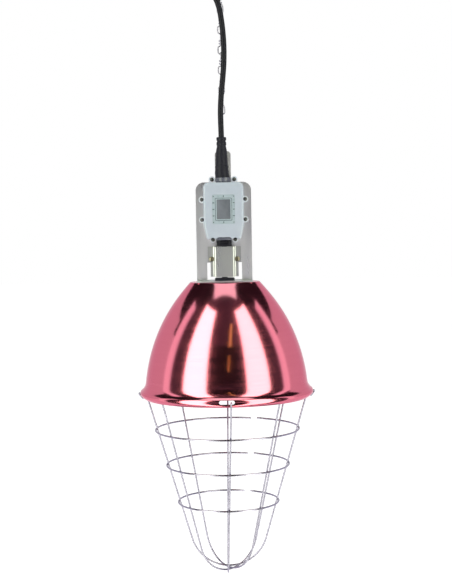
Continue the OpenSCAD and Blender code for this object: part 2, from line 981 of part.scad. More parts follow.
module reflector_shade() {
  outer = shade_outline();
  inner = inset(outer, shade_wall);
  color([0.8, 0.3, 0.36])
    over_top()
      difference() {
        union() {
          rotate_extrude($fn = fine)
            polygon(concat(
              [for (i = [1 : len(outer) - 1]) outer[i]],
              [for (i = [len(inner) - 1 : -1 : 1]) inner[i]],
              [[shade_top_r - 0.4, -shade_wall], [0, -shade_wall], [0, 0], [shade_top_r, 0]]
            ));
        }
        translate([0, cable_y, -5])
          cylinder(h = 10, r = cable_hole_r, $fn = fine);
        for (at = rivets)
          translate([at[0], at[1], -5])
            cylinder(h = 10, r = rivet_hole_r, $fn = fine);
        for (a = [0, 90, 180, 270])
          rotate([0, 0, a])
            translate([0, -rim_r + 8, slot_z])
              rotate([90, 0, 0])
                linear_extrude(12)
                  rounded(slot_size);
      }
}

// Lampholder

module holder_strap() {
  color([0.7, 0.7, 0.7])
    over_top()
      translate([0, 0, strap_low])
        difference() {
          cylinder(h = strap_t - slip / 2, r = strap_r, $fn = fine);
          translate([0, cable_y, -1])
            cylinder(h = 4, r = cable_hole_r, $fn = fine);
          for (at = rivets)
            translate([at[0], at[1], -1])
              cylinder(h = 4, r = rivet_hole_r, $fn = fine);
          for (x = [-1, 1])
            translate([x * holder_screw_at, 0, -1])
              cylinder(h = 4, r = 1.6, $fn = fine);
        }
}

module holder_screws() {
  color("silver")
    over_top()
      for (x = [-1, 1])
        translate([x * holder_screw_at, 0, flange_low]) {
          translate([0, 0, -1.8])
            cylinder(h = 1.8 - slip, r1 = holder_screw_head_r - 0.5, r2 = holder_screw_head_r, $fn = fine);
          translate([0, 0, -1])
            cylinder(h = flange_t + strap_t + 0.8, r = 1.5, $fn = fine);
        }
}

module lampholder_body() {
  color([0.93, 0.92, 0.88])
    over_top()
      difference() {
        rotate_extrude($fn = fine)
          polygon([
            [contact_hole_r, web_low], [bore_r, web_low], [bore_r, -holder_mouth],
            [skirt_r - 1, -holder_mouth], [skirt_r, -holder_mouth + 1.4], [skirt_r, flange_low - 1],
            [skirt_r + 0.5, flange_low], [flange_r - 0.8, flange_low], [flange_r, flange_low + 1],
            [flange_r, strap_low - slip], [chamber_r, strap_low - slip], [chamber_r, chamber_low],
            [contact_hole_r, chamber_low],
          ]);
        for (x = [-1, 1])
          translate([x * holder_screw_at, 0, flange_low - 3])
            cylinder(h = flange_t + 6, r = 1.7, $fn = fine);
      }
}

module lampholder_shell() {
  color([0.8, 0.66, 0.36])
    over_top()
      rotate_extrude($fn = fine)
        polygon([
          [shell_r, shell_low], [shell_r + shell_t, shell_low], [shell_r + shell_t, shell_top + shell_t],
          [contact_r + 2.2, shell_top + shell_t], [contact_r + 2.2, shell_top],
          [shell_neck_r, shell_top], [shell_neck_r, thread_top], [shell_r, thread_top],
        ]);
}

module centre_contact() {
  color([0.82, 0.68, 0.4])
    over_top()
      rotate_extrude($fn = fine)
        polygon([
          [0, contact_top - contact_t], [contact_r - 1.4, contact_top - contact_t], [contact_r, contact_top - 0.6],
          [contact_r, contact_top], [contact_stem_r, contact_top], [contact_stem_r, chamber_low + slip],
          [contact_r - 0.4, chamber_low + slip], [contact_r - 0.4, chamber_low + 1], [0, chamber_low + 1],
        ]);
}

module holder_terminals() {
  color([0.8, 0.66, 0.36])
    over_top()
      for (x = [-1, 1])
        translate([x * 11 - 3, -2, chamber_low])
          difference() {
            cube([6, 8, 7]);
            translate([3, 4, 3])
              cylinder(h = 6, r = 1.7, $fn = fine);
          }
}

module earth_tab() {
  color("silver")
    over_top()
      translate([-2.5, 4.5, strap_low - slip - 5])
        cube([5, 0.8, 5]);
}

// The two live cores of the cable spread to the terminals and the earth core runs to its tab
module holder_wires() {
  color([0.35, 0.25, 0.2])
    over_top()
      for (x = [-1, 1])
        tube([
          [1.6 * x, cable_y, cable_low - 0.3], [1.6 * x, cable_y, cable_low - 1.2],
          [2 * x, cable_y + 0.6, cable_low - 2.6],
          [5 * x, cable_y + 2.5, cable_low - 4], [8.5 * x, cable_y + 5, cable_low - 5],
          [10.5 * x, cable_y + 7.5, cable_low - 5.4], [10.9 * x, cable_y + 9.3, cable_low - 5.5],
        ], 2, 6);
  color([0.35, 0.45, 0.2])
    over_top()
      tube([
        [0, cable_y + 2, cable_low - 0.3], [0, cable_y + 2, cable_low - 1.2], [0, cable_y + 4, cable_low - 2.2],
        [0, cable_y + 7, cable_low - 1], [0, cable_y + 10.5, cable_low + 2], [0, cable_y + 13.4, cable_low + 4],
        [0, cable_y + 15.7, cable_low + 4],
      ], 2, 6);
}

// Guard

// Radius of a straight guard wire at a depth under the top
function wire_r(depth) = guard_top_r - guard_slope * (depth - ring_depths[0]);

// One half of a loop: the end of the wire, the straight run and half of the bottom bow
function half_loop(depth, hooked) =
  let (
    low_r = wire_r(depth),
    bow_r = low_r * cos(guard_angle) / (1 - sin(guard_angle)),
    centre = [0, bow_r - depth]
  )
  concat(
    hooked ? [
      [hook_tip_r, hook_tip_z],
      [hook_tip_r + 3.4, hook_leg_z - 3.2],
      [hook_reach, hook_leg_z - 1],
      [hook_reach - 0.6, hook_leg_z],
      [wire_r(-hook_leg_z) + 1.6, hook_leg_z],
      [wire_r(-hook_leg_z), hook_leg_z - 1.6],
    ] : [
      [rim_r - shade_wall - 0.7, rim_mid + 0.6],
      [wire_r(-rim_mid) + 1.6, rim_mid + 0.4],
      [wire_r(-rim_mid), rim_mid - 1.4],
    ],
    [[wire_r(160), -160]],
    arc(centre, bow_r, -guard_angle, -90, 8)
  );

module guard_loop(number) {
  depth = guard_depth - loop_step * (4 - number);
  half = half_loop(depth, number == 1 || number == 4);
  back = [for (i = [len(half) - 2 : -1 : 0]) [-half[i][0], half[i][1]]];
  color([0.78, 0.78, 0.8])
    over_top()
      rotate([0, 0, loop_headings[number - 1] - 90])
        tube([for (p = concat(half, back)) [p[0], 0, p[1]]], guard_wire, 8, [0, 1, 0]);
}

// An open ring outside the loops, with its ends turned in at the back right
module guard_ring(number) {
  depth = ring_depths[number - 1];
  r = wire_r(depth) + (guard_wire + ring_seat) / cos(guard_angle);
  gap = 2 * asin((ring_gap + guard_wire) / 2 / r);
  color([0.78, 0.78, 0.8])
    over_top()
      translate([0, 0, -depth])
        rotate([0, 0, ring_gap_at + gap / 2])
          rotate_extrude(angle = 360 - gap, $fn = 96)
            translate([r, 0])
              circle(guard_wire / 2, $fn = 24);
}

// Cord

module cord_lead() {
  color([0.05, 0.05, 0.06])
    over_top()
      tube(lead_route, cord_d, 10);
}

// Turns wound after t turns in a triangle wave: 0 at the outside of a layer, 1 at its inside
function inward(t) =
  let (legs = min(t / coil_leg, coil_layers), whole = min(floor(legs), coil_layers - 1), part = legs - whole)
  whole % 2 == 0 ? part : 1 - part;

function climbed(t, turn) = min(max((t - turn + 0.25) / 0.5, 0), 1);

function layer_at(t) = climbed(t, coil_leg) + climbed(t, 2 * coil_leg) + climbed(t, 3 * coil_leg);

function coil_point(t) =
  let (r = coil_out_r - coil_step * coil_leg * inward(t), a = 180 - 360 * t)
  [r * cos(a), coil_back_y - coil_step * layer_at(t), coil_z + r * sin(a)];

coil_line = concat(
  [coil_point(0) - [0, 0, cord_d]],
  [for (i = [0 : coil_turns * coil_points]) coil_point(i / coil_points)],
  [coil_point(coil_turns) + [cord_d, 0, 0]]
);

coil_gap = min([
  for (i = [0 : len(coil_line) - 1], j = [i + coil_points / 2 : 1 : len(coil_line) - 1])
    norm(coil_line[i] - coil_line[j])
]) - cord_d;
echo(least_gap_of_the_coil_to_itself = coil_gap);

module cord_coil() {
  color([0.05, 0.05, 0.06])
    tube(coil_line, cord_d, 6);
}

module cord_tail() {
  color([0.05, 0.05, 0.06])
    translate([0, 0, coil_z])
      tube(tail_route, cord_d, 10, [0, 1, 0]);
}

// A band through two links of the chain and round the coil, with its lock in front
module coil_tie() {
  color([0.15, 0.15, 0.16])
    translate([-tie_w / 2, 0, 0])
      rotate([90, 0, 90])
        linear_extrude(tie_w)
          difference() {
            tie_outline(0);
            tie_outline(tie_t);
          }
  color([0.15, 0.15, 0.16])
    translate([-2.6, tie_front - tie_t - 3.4, (tie_low + tie_high) / 2])
      cube([5.2, 3.6, 4.6]);
}

module tie_outline(margin) {
  corner = 4 - margin;
  low = [tie_front - tie_t + margin + corner, tie_low - tie_t + margin + corner];
  high = [tie_back + tie_t - margin - corner, tie_high + tie_t - margin - corner];
  hull()
    for (y = [low[0], high[0]], z = [low[1], high[1]])
      translate([y, z])
        circle(corner, $fn = 32);
}

// Plug with two pins, hanging pins down

module at_plug() {
  translate([plug_at[0], plug_at[1], coil_z + plug_at[2]])
    children();
}

module plug_body() {
  color([0.06, 0.06, 0.07])
    at_plug()
      difference() {
        rotate_extrude($fn = fine)
          polygon([
            [0, -6], [cord_d / 2 + slip, -6], [cord_d / 2 + slip, 0], [5.2, 0], [6, -1], [7.6, -plug_relief_h],
            [13.5, -plug_relief_h - 5], [15, -plug_relief_h - 12], [15.6, -plug_relief_h - 17],
            [plug_r, -plug_relief_h - 20], [plug_r, -plug_relief_h - plug_h + 1],
            [plug_r - 1, -plug_relief_h - plug_h], [0, -plug_relief_h - plug_h],
          ]);
        for (x = [-1, 1])
          translate([x * pin_spacing / 2, 0, -plug_relief_h - plug_h - 1])
            cylinder(h = 13, r = pin_root_r + slip, $fn = fine);
        for (y = [-1, 1])
          translate([-3.4, y * (plug_r + 1) - 2.8, -plug_relief_h - plug_h - 1])
            cube([6.8, 5.6, 15]);
      }
}

module plug_pins() {
  color([0.8, 0.8, 0.8])
    at_plug()
      for (x = [-1, 1])
        translate([x * pin_spacing / 2, 0, -plug_relief_h - plug_h - pin_len]) {
          cylinder(h = 1.2, r1 = pin_r - 1, r2 = pin_r, $fn = fine);
          translate([0, 0, 1.2])
            cylinder(h = pin_len - 1.2 - slip, r = pin_r, $fn = fine);
          translate([0, 0, pin_len - 1])
            cylinder(h = 11, r = pin_root_r, $fn = fine);
        }
}

hanging_hook();
for (i = [1 : link_count])
  chain_link(i);
lamp_hook();
bracket_plate();
cable_cover();
cable_cover_screws();
box_tray();
box_gasket();
box_lid();
lid_screws();
tray_screws();
circuit_board();
triac();
heat_spreader();
capacitor();
choke();
input_terminals();
output_terminals();
box_wires();
cord_entry();
strain_relief();
outlet_gland();
link_cable();
foot_grommet();
foot_rivets();
reflector_shade();
holder_strap();
holder_screws();
lampholder_body();
lampholder_shell();
centre_contact();
holder_terminals();
earth_tab();
holder_wires();
for (i = [1 : 4])
  guard_loop(i);
for (i = [1 : 3])
  guard_ring(i);
cord_lead();
cord_coil();
cord_tail();
plug_body();
plug_pins();
coil_tie();
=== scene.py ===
# %% [markdown]
# # A hanging heat lamp, from bare solids to a finished picture
# The lamp hangs from a knotted wire chain. It has a spun red reflector, a wire guard, a steel bracket
# with a small control box, and a black cord. Its plain solids are already packed in one frame, with the
# zero point at the peg that carries it. We load them first. Nothing that we make may stick out of it.

import bpy
import bmesh
import json
from math import asin, atan, cos, degrees, floor, hypot, pi, radians, sin
from mathutils import Matrix, Vector


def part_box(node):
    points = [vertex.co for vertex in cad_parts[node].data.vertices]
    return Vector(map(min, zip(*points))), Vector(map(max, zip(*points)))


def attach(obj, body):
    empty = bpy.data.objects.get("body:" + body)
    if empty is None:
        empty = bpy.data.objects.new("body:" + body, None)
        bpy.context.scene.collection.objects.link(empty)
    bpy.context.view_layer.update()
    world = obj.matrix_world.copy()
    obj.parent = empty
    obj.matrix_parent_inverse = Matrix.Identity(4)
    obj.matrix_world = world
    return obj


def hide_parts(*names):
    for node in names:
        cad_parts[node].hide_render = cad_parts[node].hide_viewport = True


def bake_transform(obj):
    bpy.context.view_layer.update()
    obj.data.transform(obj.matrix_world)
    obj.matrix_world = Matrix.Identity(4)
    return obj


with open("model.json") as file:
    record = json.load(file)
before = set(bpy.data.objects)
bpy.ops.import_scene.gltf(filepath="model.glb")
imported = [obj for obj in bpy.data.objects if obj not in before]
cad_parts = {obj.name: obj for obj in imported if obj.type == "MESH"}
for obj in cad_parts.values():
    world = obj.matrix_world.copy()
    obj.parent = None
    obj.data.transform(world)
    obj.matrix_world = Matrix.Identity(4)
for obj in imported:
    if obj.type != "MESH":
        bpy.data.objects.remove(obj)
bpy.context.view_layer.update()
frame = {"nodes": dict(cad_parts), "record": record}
nodes = frame["nodes"]
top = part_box("bracket_plate")[0].z

# %% [markdown]
# # Where things are
# Every size below is written in millimetres, because that is how a maker reads them, and heights are
# measured from the flat top of the reflector. One small function turns such a place into metres in the
# shared frame, so the numbers can be compared with a drawing at any time. Another one takes up two lines
# that Blender asks for each time an object is put into the scene.


# %% Places in millimetres
def at(x, y, height):
    return Vector((x / 1000, y / 1000, height / 1000 + top))


def mm(size):
    return size / 1000


def add_object(name, data):
    thing = bpy.data.objects.new(name, data)
    bpy.context.scene.collection.objects.link(thing)
    return thing


print("the reflector's top is", round(-top * 1000, 1), "mm under the peg")

# %% [markdown]
# # The camera
# A product picture like this one is taken with a long lens, a little above the middle of the lamp and
# looking slightly down. The lamp also leans a little in the picture, so the camera is rolled by one
# degree instead of tilting the lamp. An empty tracking target could aim the camera, but two rotations
# are shorter and show the angles.

# %% Camera
LENS, LOOK_DOWN, ROLL = 79.5, 3.15, 1.0
camera_data = bpy.data.cameras.new("studio_camera")
camera_data.lens = LENS
camera_data.sensor_width = 36
camera = add_object("studio_camera", camera_data)
camera.location = at(1.15, -1562, 73)
pitch = Matrix.Rotation(radians(90 - LOOK_DOWN), 4, "X")
roll = Matrix.Rotation(radians(-ROLL), 4, "Z")
camera.rotation_euler = (pitch @ roll).to_euler()
bpy.context.scene.camera = camera
print("camera", [round(v, 3) for v in camera.location], "lens", LENS)

# %% [markdown]
# # Sweeping a wire
# Cords, hooks, chain links and the guard are all round wires that follow a path. A curve object with a
# bevel would do, but a swept mesh lets us choose the rings ourselves, and a mesh can bend between two
# moving bodies. Each ring is turned with the path without twisting, and the cut ends get a small bevel.
# One function joins the rings into a closed skin. Later it also joins the stacked outlines of the lid,
# its window and the rubber parts.


# %% Swept wire
def direction(path, i):
    before = path[max(i - 1, 0)]
    after = path[min(i + 1, len(path) - 1)]
    return (after - before).normalized()


def new_piece(name, corners, faces, sharp=40):
    build = bmesh.new()
    points = [build.verts.new(c) for c in corners]
    for face in faces:
        build.faces.new([points[i] for i in face])
    bmesh.ops.remove_doubles(build, verts=build.verts, dist=1e-6)
    bmesh.ops.dissolve_degenerate(build, edges=build.edges, dist=1e-7)
    bmesh.ops.recalc_face_normals(build, faces=build.faces)
    mesh = bpy.data.meshes.new(name)
    build.to_mesh(mesh)
    build.free()
    mesh.shade_smooth()
    mesh.set_sharp_from_angle(angle=radians(sharp))
    return add_object(name, mesh)


def layered(name, layers, sharp=30):
    count = len(layers[0])
    corners = [corner for layer in layers for corner in layer]
    last = len(corners) - count
    faces = []
    for start in range(0, last, count):
        for i in range(count):
            a, b = start + i, start + (i + 1) % count
            faces.append((a, b, b + count, a + count))
    faces += [tuple(reversed(range(count))), tuple(range(last, last + count))]
    return new_piece(name, corners, faces, sharp)


END_SIZE, END_REACH = 0.72, 0.12


def swept_wire(name, path, diameter, sides=10, first=(0, 1, 0), sharp=40):
    path = [Vector(p) for p in path]
    ends = [path[0]] + path + [path[-1]]
    turns = [2 * pi * k / sides for k in range(sides)]
    side = Vector(first)
    rings = []
    for i, middle in enumerate(ends):
        along = direction(path, min(max(i - 1, 0), len(path) - 1))
        side = (side - side.dot(along) * along).normalized()
        other = along.cross(side)
        radius, push = diameter / 2, 0
        if i in (0, len(ends) - 1):
            radius = END_SIZE * diameter / 2
            push = (-END_REACH if i == 0 else END_REACH) * diameter
        rings.append([middle + push * along + radius * (cos(t) * side + sin(t) * other) for t in turns])
    return layered(name, rings, sharp)


def eased(points, steps):
    points = [Vector(p) for p in points]
    line = []
    for i in range(len(points) - 1):
        a, b = points[max(i - 1, 0)], points[i]
        c, d = points[i + 1], points[min(i + 2, len(points) - 1)]
        for k in range(steps):
            t = k / steps
            bend = (2 * a - 5 * b + 4 * c - d) * t * t + (3 * b - a - 3 * c + d) * t**3
            line.append(0.5 * (2 * b + (c - a) * t + bend))
    return line + [points[-1]]


def bow(centre, radius, start, end, steps):
    turns = [radians(start + (end - start) * i / steps) for i in range(steps + 1)]
    return [(centre[0] + radius * cos(t), centre[1] + radius * sin(t)) for t in turns]


print("a wire needs a path, a diameter and a number of sides")

# %% [markdown]
# # The cord
# The cord is a round black mains cord of about two and a half metres. The picture shows it leave the
# strain relief, wander up beside the chain and go out of view. The rest is wound into a tied coil above
# the picture. We list the free part point by point, let a formula wind the coil in four layers, and join
# all of it into one tube, because a real cord has no joints.

# %% Cord path
CORD = 6.8
free_part = [
    (-1.3, -14.5, 173.1), (-1.4, -14.5, 181), (-1.6, -14, 192), (-1.6, -13, 205), (-0.6, -12.5, 222),
    (1.3, -12, 240), (3, -12, 258), (3.6, -12, 276), (3, -12, 294), (1.2, -12, 312),
    (-1.6, -12, 328), (-7.4, -12, 342), (-17.2, -12, 357), (-28.5, -12, 372), (-38, -12, 386),
    (-43.5, -12, 398.5), (-45.9, -12, 407.4), (-45.9, -12, 413.9),
]
coil_height = 421.0
tail = [
    (7, -33.9, 45.9), (14, -33.9, 45.9), (24, -33.9, 45.5), (34, -33.9, 43.5), (44, -33.9, 39.5),
    (53, -33.9, 33), (60, -33.9, 24), (64, -33.9, 14), (66, -33.9, 4), (66, -33.9, -3), (66, -33.9, -9.5),
]
coil_turns, coil_radius, layers, layer_step = 9.25, 37.5, 4, 7.3
leg = coil_turns / layers
outer_turn = coil_radius + layer_step * leg / 2


def coil_place(t):
    whole = min(floor(t / leg), layers - 1)
    part = t / leg - whole
    inward = part if whole % 2 == 0 else 1 - part
    layer = sum(min(max((t - n * leg + 0.25) / 0.5, 0), 1) for n in range(1, layers))
    radius = outer_turn - layer_step * leg * inward
    turn = radians(180 - 360 * t)
    return (radius * cos(turn), -12 - layer_step * layer, coil_height + radius * sin(turn))


cord_points = eased([at(*p) for p in free_part], 3)
cord_points += [at(*coil_place(i / 32)) for i in range(int(coil_turns * 32) + 1)]
cord_points += eased([at(x, y, z + coil_height) for x, y, z in tail], 3)

# %% [markdown]
# # The cord as one tube
# A real cord runs from the lamp to the plug in one skin, and it bends when the lamp swings. The frame
# holds three stiff solids for it, and those can't bend. So one tube follows the whole path.

# %% Cord
supply_cord = swept_wire("supply_cord", cord_points, mm(CORD), sides=14)
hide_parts("cord_lead", "cord_coil", "cord_tail")
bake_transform(supply_cord)
print("supply_cord:", len(supply_cord.data.polygons), "faces")

# %% [markdown]
# # Turned shapes
# Rubber boots, the plug, the screw socket and the reflector are all round about an axis. A screw modifier
# could spin an outline, but a small function that turns an outline of radius and height is easier to
# read and keeps the rings in our hands. Where two outline points lie on the axis they melt into one.


# %% Turned piece
def closed_grid(rings, count):
    faces = []
    for k in range(rings):
        a, b = k * count, (k + 1) % rings * count
        for i in range(count):
            j = (i + 1) % count
            faces.append((a + i, b + i, b + j, a + j))
    return faces


def turned(name, outline, segments=64, x=0, y=0, sharp=35, wave=None):
    corners = []
    for k in range(segments):
        turn = 2 * pi * k / segments
        for radius, height in outline:
            r = radius + (wave(height, turn) if wave else 0)
            corners.append(at(x + r * cos(turn), y + r * sin(turn), height))
    return new_piece(name, corners, closed_grid(segments, len(outline)), sharp)


def rounded_outline(outline, cuts=3, bite=0.35, longest=0.8):
    result = []
    for i, place in enumerate(outline):
        if place[0] == 0:
            result.append(place)
            continue
        corner = Vector(place)
        sides = []
        for other in (Vector(outline[i - 1]), Vector(outline[(i + 1) % len(outline)])):
            share = longest / max((other - corner).length, 0.01)
            sides.append(corner.lerp(other, min(bite, share)))
        for k in range(cuts + 1):
            t = k / cuts
            result.append(tuple((1 - t) ** 2 * sides[0] + 2 * t * (1 - t) * corner + t * t * sides[1]))
    return result


print("turned pieces are ready to make")

# %% [markdown]
# # Cutting with a tool
# Slots, screw wells and sunk fields are cut the way a workshop cuts them: a tool is pushed in and what it
# fills is gone. Blender's boolean modifier does this, and it can also join two bodies into one. Its
# result is written back into the mesh at once, so that no modifier and no tool is left in the scene.


# %% Cutting tools
def combine(operation, piece, others, sharp):
    for other in others:
        step = piece.modifiers.new("step", "BOOLEAN")
        step.operation = operation
        step.solver = "EXACT"
        step.object = other
    depsgraph = bpy.context.evaluated_depsgraph_get()
    mesh = bpy.data.meshes.new_from_object(piece.evaluated_get(depsgraph))
    piece.modifiers.clear()
    piece.data = mesh
    mesh.shade_smooth()
    mesh.set_sharp_from_angle(angle=radians(sharp))
    for other in others:
        bpy.data.objects.remove(other)
    return piece


def carve(piece, tools, sharp=35):
    return combine("DIFFERENCE", piece, tools, sharp)


def upright_prism(name, outline, back, front):
    count = len(outline)
    corners = [at(x, y, z) for y in (back, front) for x, z in outline]
    faces = [tuple(range(count)), tuple(reversed(range(count, 2 * count)))]
    for i in range(count):
        j = (i + 1) % count
        faces.append((j, i, i + count, j + count))
    return new_piece(name, corners, faces, 30)


def soft_rectangle(width, height, corner, x=0, z=0, steps=4):
    line = []
    for quarter, (sx, sz) in enumerate([(1, 1), (-1, 1), (-1, -1), (1, -1)]):
        centre = (x + sx * (width / 2 - corner), z + sz * (height / 2 - corner))
        line += bow(centre, corner, quarter * 90, quarter * 90 + 90, steps)
    return line


def round_tool(name, x, z, radius, back, front, sides=24):
    return upright_prism(name, bow((x, z), radius, 0, 360 - 360 / sides, sides - 1), back, front)


print("cutting tools are ready")

# %% [markdown]
# # The plug
# A round moulded plug with two pins hangs from the cord's tail. Its solid is plain, so we turn a fuller
# one: a ribbed boot that lets the cord bend, a finger collar and a body with two guide grooves. The ribs
# are in the outline itself, which keeps their edges clean.

# %% Plug
plug_x, plug_y, plug_top = 66, -33.9, coil_height - 4
PLUG_LENGTH, RIBS, RIB_STEP, RIB_HEIGHT = 58, 5, 3.4, 0.8
plug_profile = [(0, 6), (3.5, 6), (3.5, 0), (5.2, 0)]
for n in range(RIBS):
    root, down = 4.9 + 0.3 * n, 3 + RIB_STEP * n
    crest = root + RIB_HEIGHT
    plug_profile += [(crest, down), (crest, down + 1.9), (root, down + 2.1), (root, down + 3.2)]
plug_profile += [(7.6, 21), (8.4, 23), (13.3, 27), (14.8, 33), (15.4, 39), (18.9, 42), (18.9, 57.2)]
plug_profile += [(18.2, PLUG_LENGTH), (0, PLUG_LENGTH)]
plug_outline = [(radius, plug_top - down) for radius, down in plug_profile]
plug_moulding = turned("plug_moulding", rounded_outline(plug_outline), 72, plug_x, plug_y)
grooves = []
for y in (17.2, -23.2):
    groove = soft_rectangle(6.8, 18, 1, plug_x, plug_top - PLUG_LENGTH)
    grooves.append(upright_prism("groove_tool", groove, plug_y + y, plug_y + y + 6))
carve(plug_moulding, grooves)
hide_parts("plug_body")
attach(plug_moulding, "chain")
print("plug_moulding:", len(plug_moulding.data.polygons), "faces")

# %% [markdown]
# # The tie
# A plastic cable tie holds the coil to two links of the chain. Its band is a flat strap with rounded
# corners, and its lock is a small block with a slot. We loft the strap as a ring of rectangles round a
# path and leave the strap's cut tail standing out of the lock, as a real one does.


# %% Tie
strap_section = [(-1, 0.2), (-0.86, 0), (0.86, 0), (1, 0.2), (1, 0.8), (0.86, 1), (-0.86, 1), (-1, 0.8)]


def strap(name, path, width, thick):
    corners = []
    for i, (y, z) in enumerate(path):
        before, after = Vector(path[i - 1]), Vector(path[(i + 1) % len(path)])
        along = (after - before).normalized()
        out = Vector((along.y, -along.x))
        for x, push in strap_section:
            p = Vector((y, z)) + out * push * thick
            corners.append(at(x * width / 2, p.x, p.y))
    return new_piece(name, corners, closed_grid(len(path), len(strap_section)), 50)


tie_low, tie_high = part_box("coil_tie")
tie_front, tie_back = tie_low.y * 1000, tie_high.y * 1000
strap_low, strap_high = [(corner.z - top) * 1000 for corner in (tie_low, tie_high)]
band_corners = [
    (tie_back - 4, strap_high - 4), (tie_front + 7.4, strap_high - 4),
    (tie_front + 7.4, strap_low + 4), (tie_back - 4, strap_low + 4),
]
band_path = []
for quarter, corner in enumerate(band_corners):
    band_path += bow(corner, 2.8, quarter * 90, quarter * 90 + 90, 6)
tie_band = strap("tie_band", band_path, 3, 1.2)
lock_middle = (strap_low + strap_high) / 2


def lock_part(name, width, height, corner, back, front):
    outline = soft_rectangle(width, height, corner, 0, lock_middle)
    return upright_prism(name, outline, tie_front + back, tie_front + front)


tie_lock = lock_part("tie_lock", 5.2, 4.6, 0.8, 3.4, 0)
carve(tie_lock, [lock_part("lock_tool", 3.3, 1.2, 0.2, 1, -1)])
tie_tail = lock_part("tie_tail", 2.8, 1, 0.2, 2, -0.4)
for piece in (tie_band, tie_lock, tie_tail):
    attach(piece, "chain")
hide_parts("coil_tie")
print("the tie holds the coil from", round(strap_low), "to", round(strap_high), "mm over the top")

# %% [markdown]
# # The knotted chain
# Each link of this chain is one piece of wire. It makes a long loop, runs through the middle, makes a
# second loop square to the first, and both cut ends are wound round the middle. We write half a link as a
# line of points and turn it over for the other half. All links share one mesh, so a change to the wire
# changes the whole chain.

# %% One link
PITCH, LINK_WIRE, LOOP_HALF = 24, 1.6, 3.4
loop_lengths = (11.4, 14.5)
first_knot = -61.7 - top * 1000
wrap_radius, wrap_low, wrap_rise = 1.76, 0.95, 1.85
neck = wrap_low + wrap_rise + LINK_WIRE / 2 + 0.2


def half_link(length):
    wraps = []
    for i in range(21):
        turn = radians(90 - 360 + 18 * i)
        wraps.append((wrap_radius * cos(turn), wrap_radius * sin(turn), wrap_low + wrap_rise * i / 20))
    going = [wraps[-1], (0, LOOP_HALF - 0.4, neck + 1.9), (0, LOOP_HALF, length - LOOP_HALF)]
    loop = [(0, y, z) for y, z in bow((0, length - LOOP_HALF), LOOP_HALF, 0, 180, 12)]
    coming = [loop[-1], (0, -LOOP_HALF + 0.2, neck + 2.6), (0, -LOOP_HALF * 0.45, neck + 1.2)]
    coming += [(0, 0, neck), (0, 0, 0)]
    line = wraps + eased(going, 4)[1:-1] + loop + eased(coming, 4)[1:-1]
    return [Vector(p) for p in line]


upper = half_link(loop_lengths[0])
lower = [Vector((p.y, p.x, -p.z)) for p in reversed(half_link(loop_lengths[1]))]
link_line = [p / 1000 for p in upper + lower]
pattern_link = swept_wire("chain_wire_1", link_line, mm(LINK_WIRE), sides=8, first=(0, 0, 1), sharp=60)
print("one link has", len(link_line), "rings, pitch", PITCH, "mm")

# %% [markdown]
# # Thirteen links
# The chain has thirteen links that hang in each other. An array modifier could repeat one link, but
# then no link could move alone. We place copies that share one mesh, and the top link gets a body of
# its own.


# %% The chain
def copies(pattern, name, count):
    return [pattern] + [add_object(f"{name}_{i}", pattern.data) for i in range(2, count + 1)]


chain_wires = copies(pattern_link, "chain_wire", 13)
for n, link in enumerate(chain_wires, 1):
    link.location = at(0, 0, first_knot - PITCH * (n - 1))
    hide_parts(f"chain_link_{n}")
    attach(link, "top_link" if n == 1 else "chain")
print("links:", len(chain_wires))

# %% [markdown]
# # The two hooks
# Both ends of the chain have an S-shaped hook of thicker wire. The lower one goes through the hole in the
# bracket's tongue, and the upper one goes over a peg. An S is two arcs and a straight shank, so the path
# is exactly that, and one hook stands square to the other.

# %% Hooks
HOOK_WIRE, HOOK_LONG = 2.8, 57


def hook_path(upper_radius, lower_radius):
    upper_eye = bow((0, HOOK_WIRE / 2 - upper_radius), upper_radius, -35, 180, 28)
    lower_eye = bow((0, HOOK_WIRE * 1.5 - HOOK_LONG + lower_radius), lower_radius, 0, -200, 24)
    return upper_eye + lower_eye


peg_height = -top * 1000
peg_hook_path = [at(x, 0, z + peg_height) for x, z in hook_path(9, 4.6)]
peg_hook = swept_wire("peg_hook", peg_hook_path, mm(HOOK_WIRE), 16)
lamp_hook_top = (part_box("lamp_hook")[1].z - top) * 1000 - HOOK_WIRE
bracket_hook_path = [at(0, y, z + lamp_hook_top) for y, z in hook_path(4.6, 4.6)]
bracket_hook = swept_wire("bracket_hook", bracket_hook_path, mm(HOOK_WIRE), 16, (1, 0, 0))
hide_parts("hanging_hook")
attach(peg_hook, "hook")
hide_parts("lamp_hook")
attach(bracket_hook, "chain")
print("hooks", HOOK_LONG, "mm long")

# %% [markdown]
# # The guard
# The guard keeps straw and hands off the hot bulb. Four wires run from rim to rim, meeting under the
# bulb, and three open rings are welded round them. Two of the four end in small hooks that snap into
# slots of the rim; the other two rest inside the rolled edge. The wires lie straight on a cone and end in
# a round bow, so the path is a line, an arc and a line. In the picture the wire that runs from front to
# back hangs askew, so it is given a small shift to the side that changes with the depth.

# %% Guard wires
GUARD_WIRE = 2.2
HEADINGS = (90, 39, -51, 0)
RINGS = (179.7, 223, 268.5)
TOP_RING_RADIUS, LOW_RING_RADIUS = 85.1, 58.9
slope = (TOP_RING_RADIUS - LOW_RING_RADIUS) / (RINGS[2] - RINGS[0])
lean_in = degrees(atan(slope))
RIM, LIP, SLOT_HEIGHT = 105.2, 100.4, -133.4
leg_height = SLOT_HEIGHT - GUARD_WIRE / 2
GUARD_DEPTH, ASKEW = 355.6, 0
FRONT_SWAY, BACK_SWAY, LOW_SWAY = 5.0, 1.3, -2.0


def wire_radius(depth):
    return TOP_RING_RADIUS - slope * (depth - RINGS[0])


def sway(heading, front, depth):
    if heading != ASKEW:
        return 0
    high = FRONT_SWAY if front else BACK_SWAY
    return LOW_SWAY + (high - LOW_SWAY) * (GUARD_DEPTH - depth) / (GUARD_DEPTH + SLOT_HEIGHT)


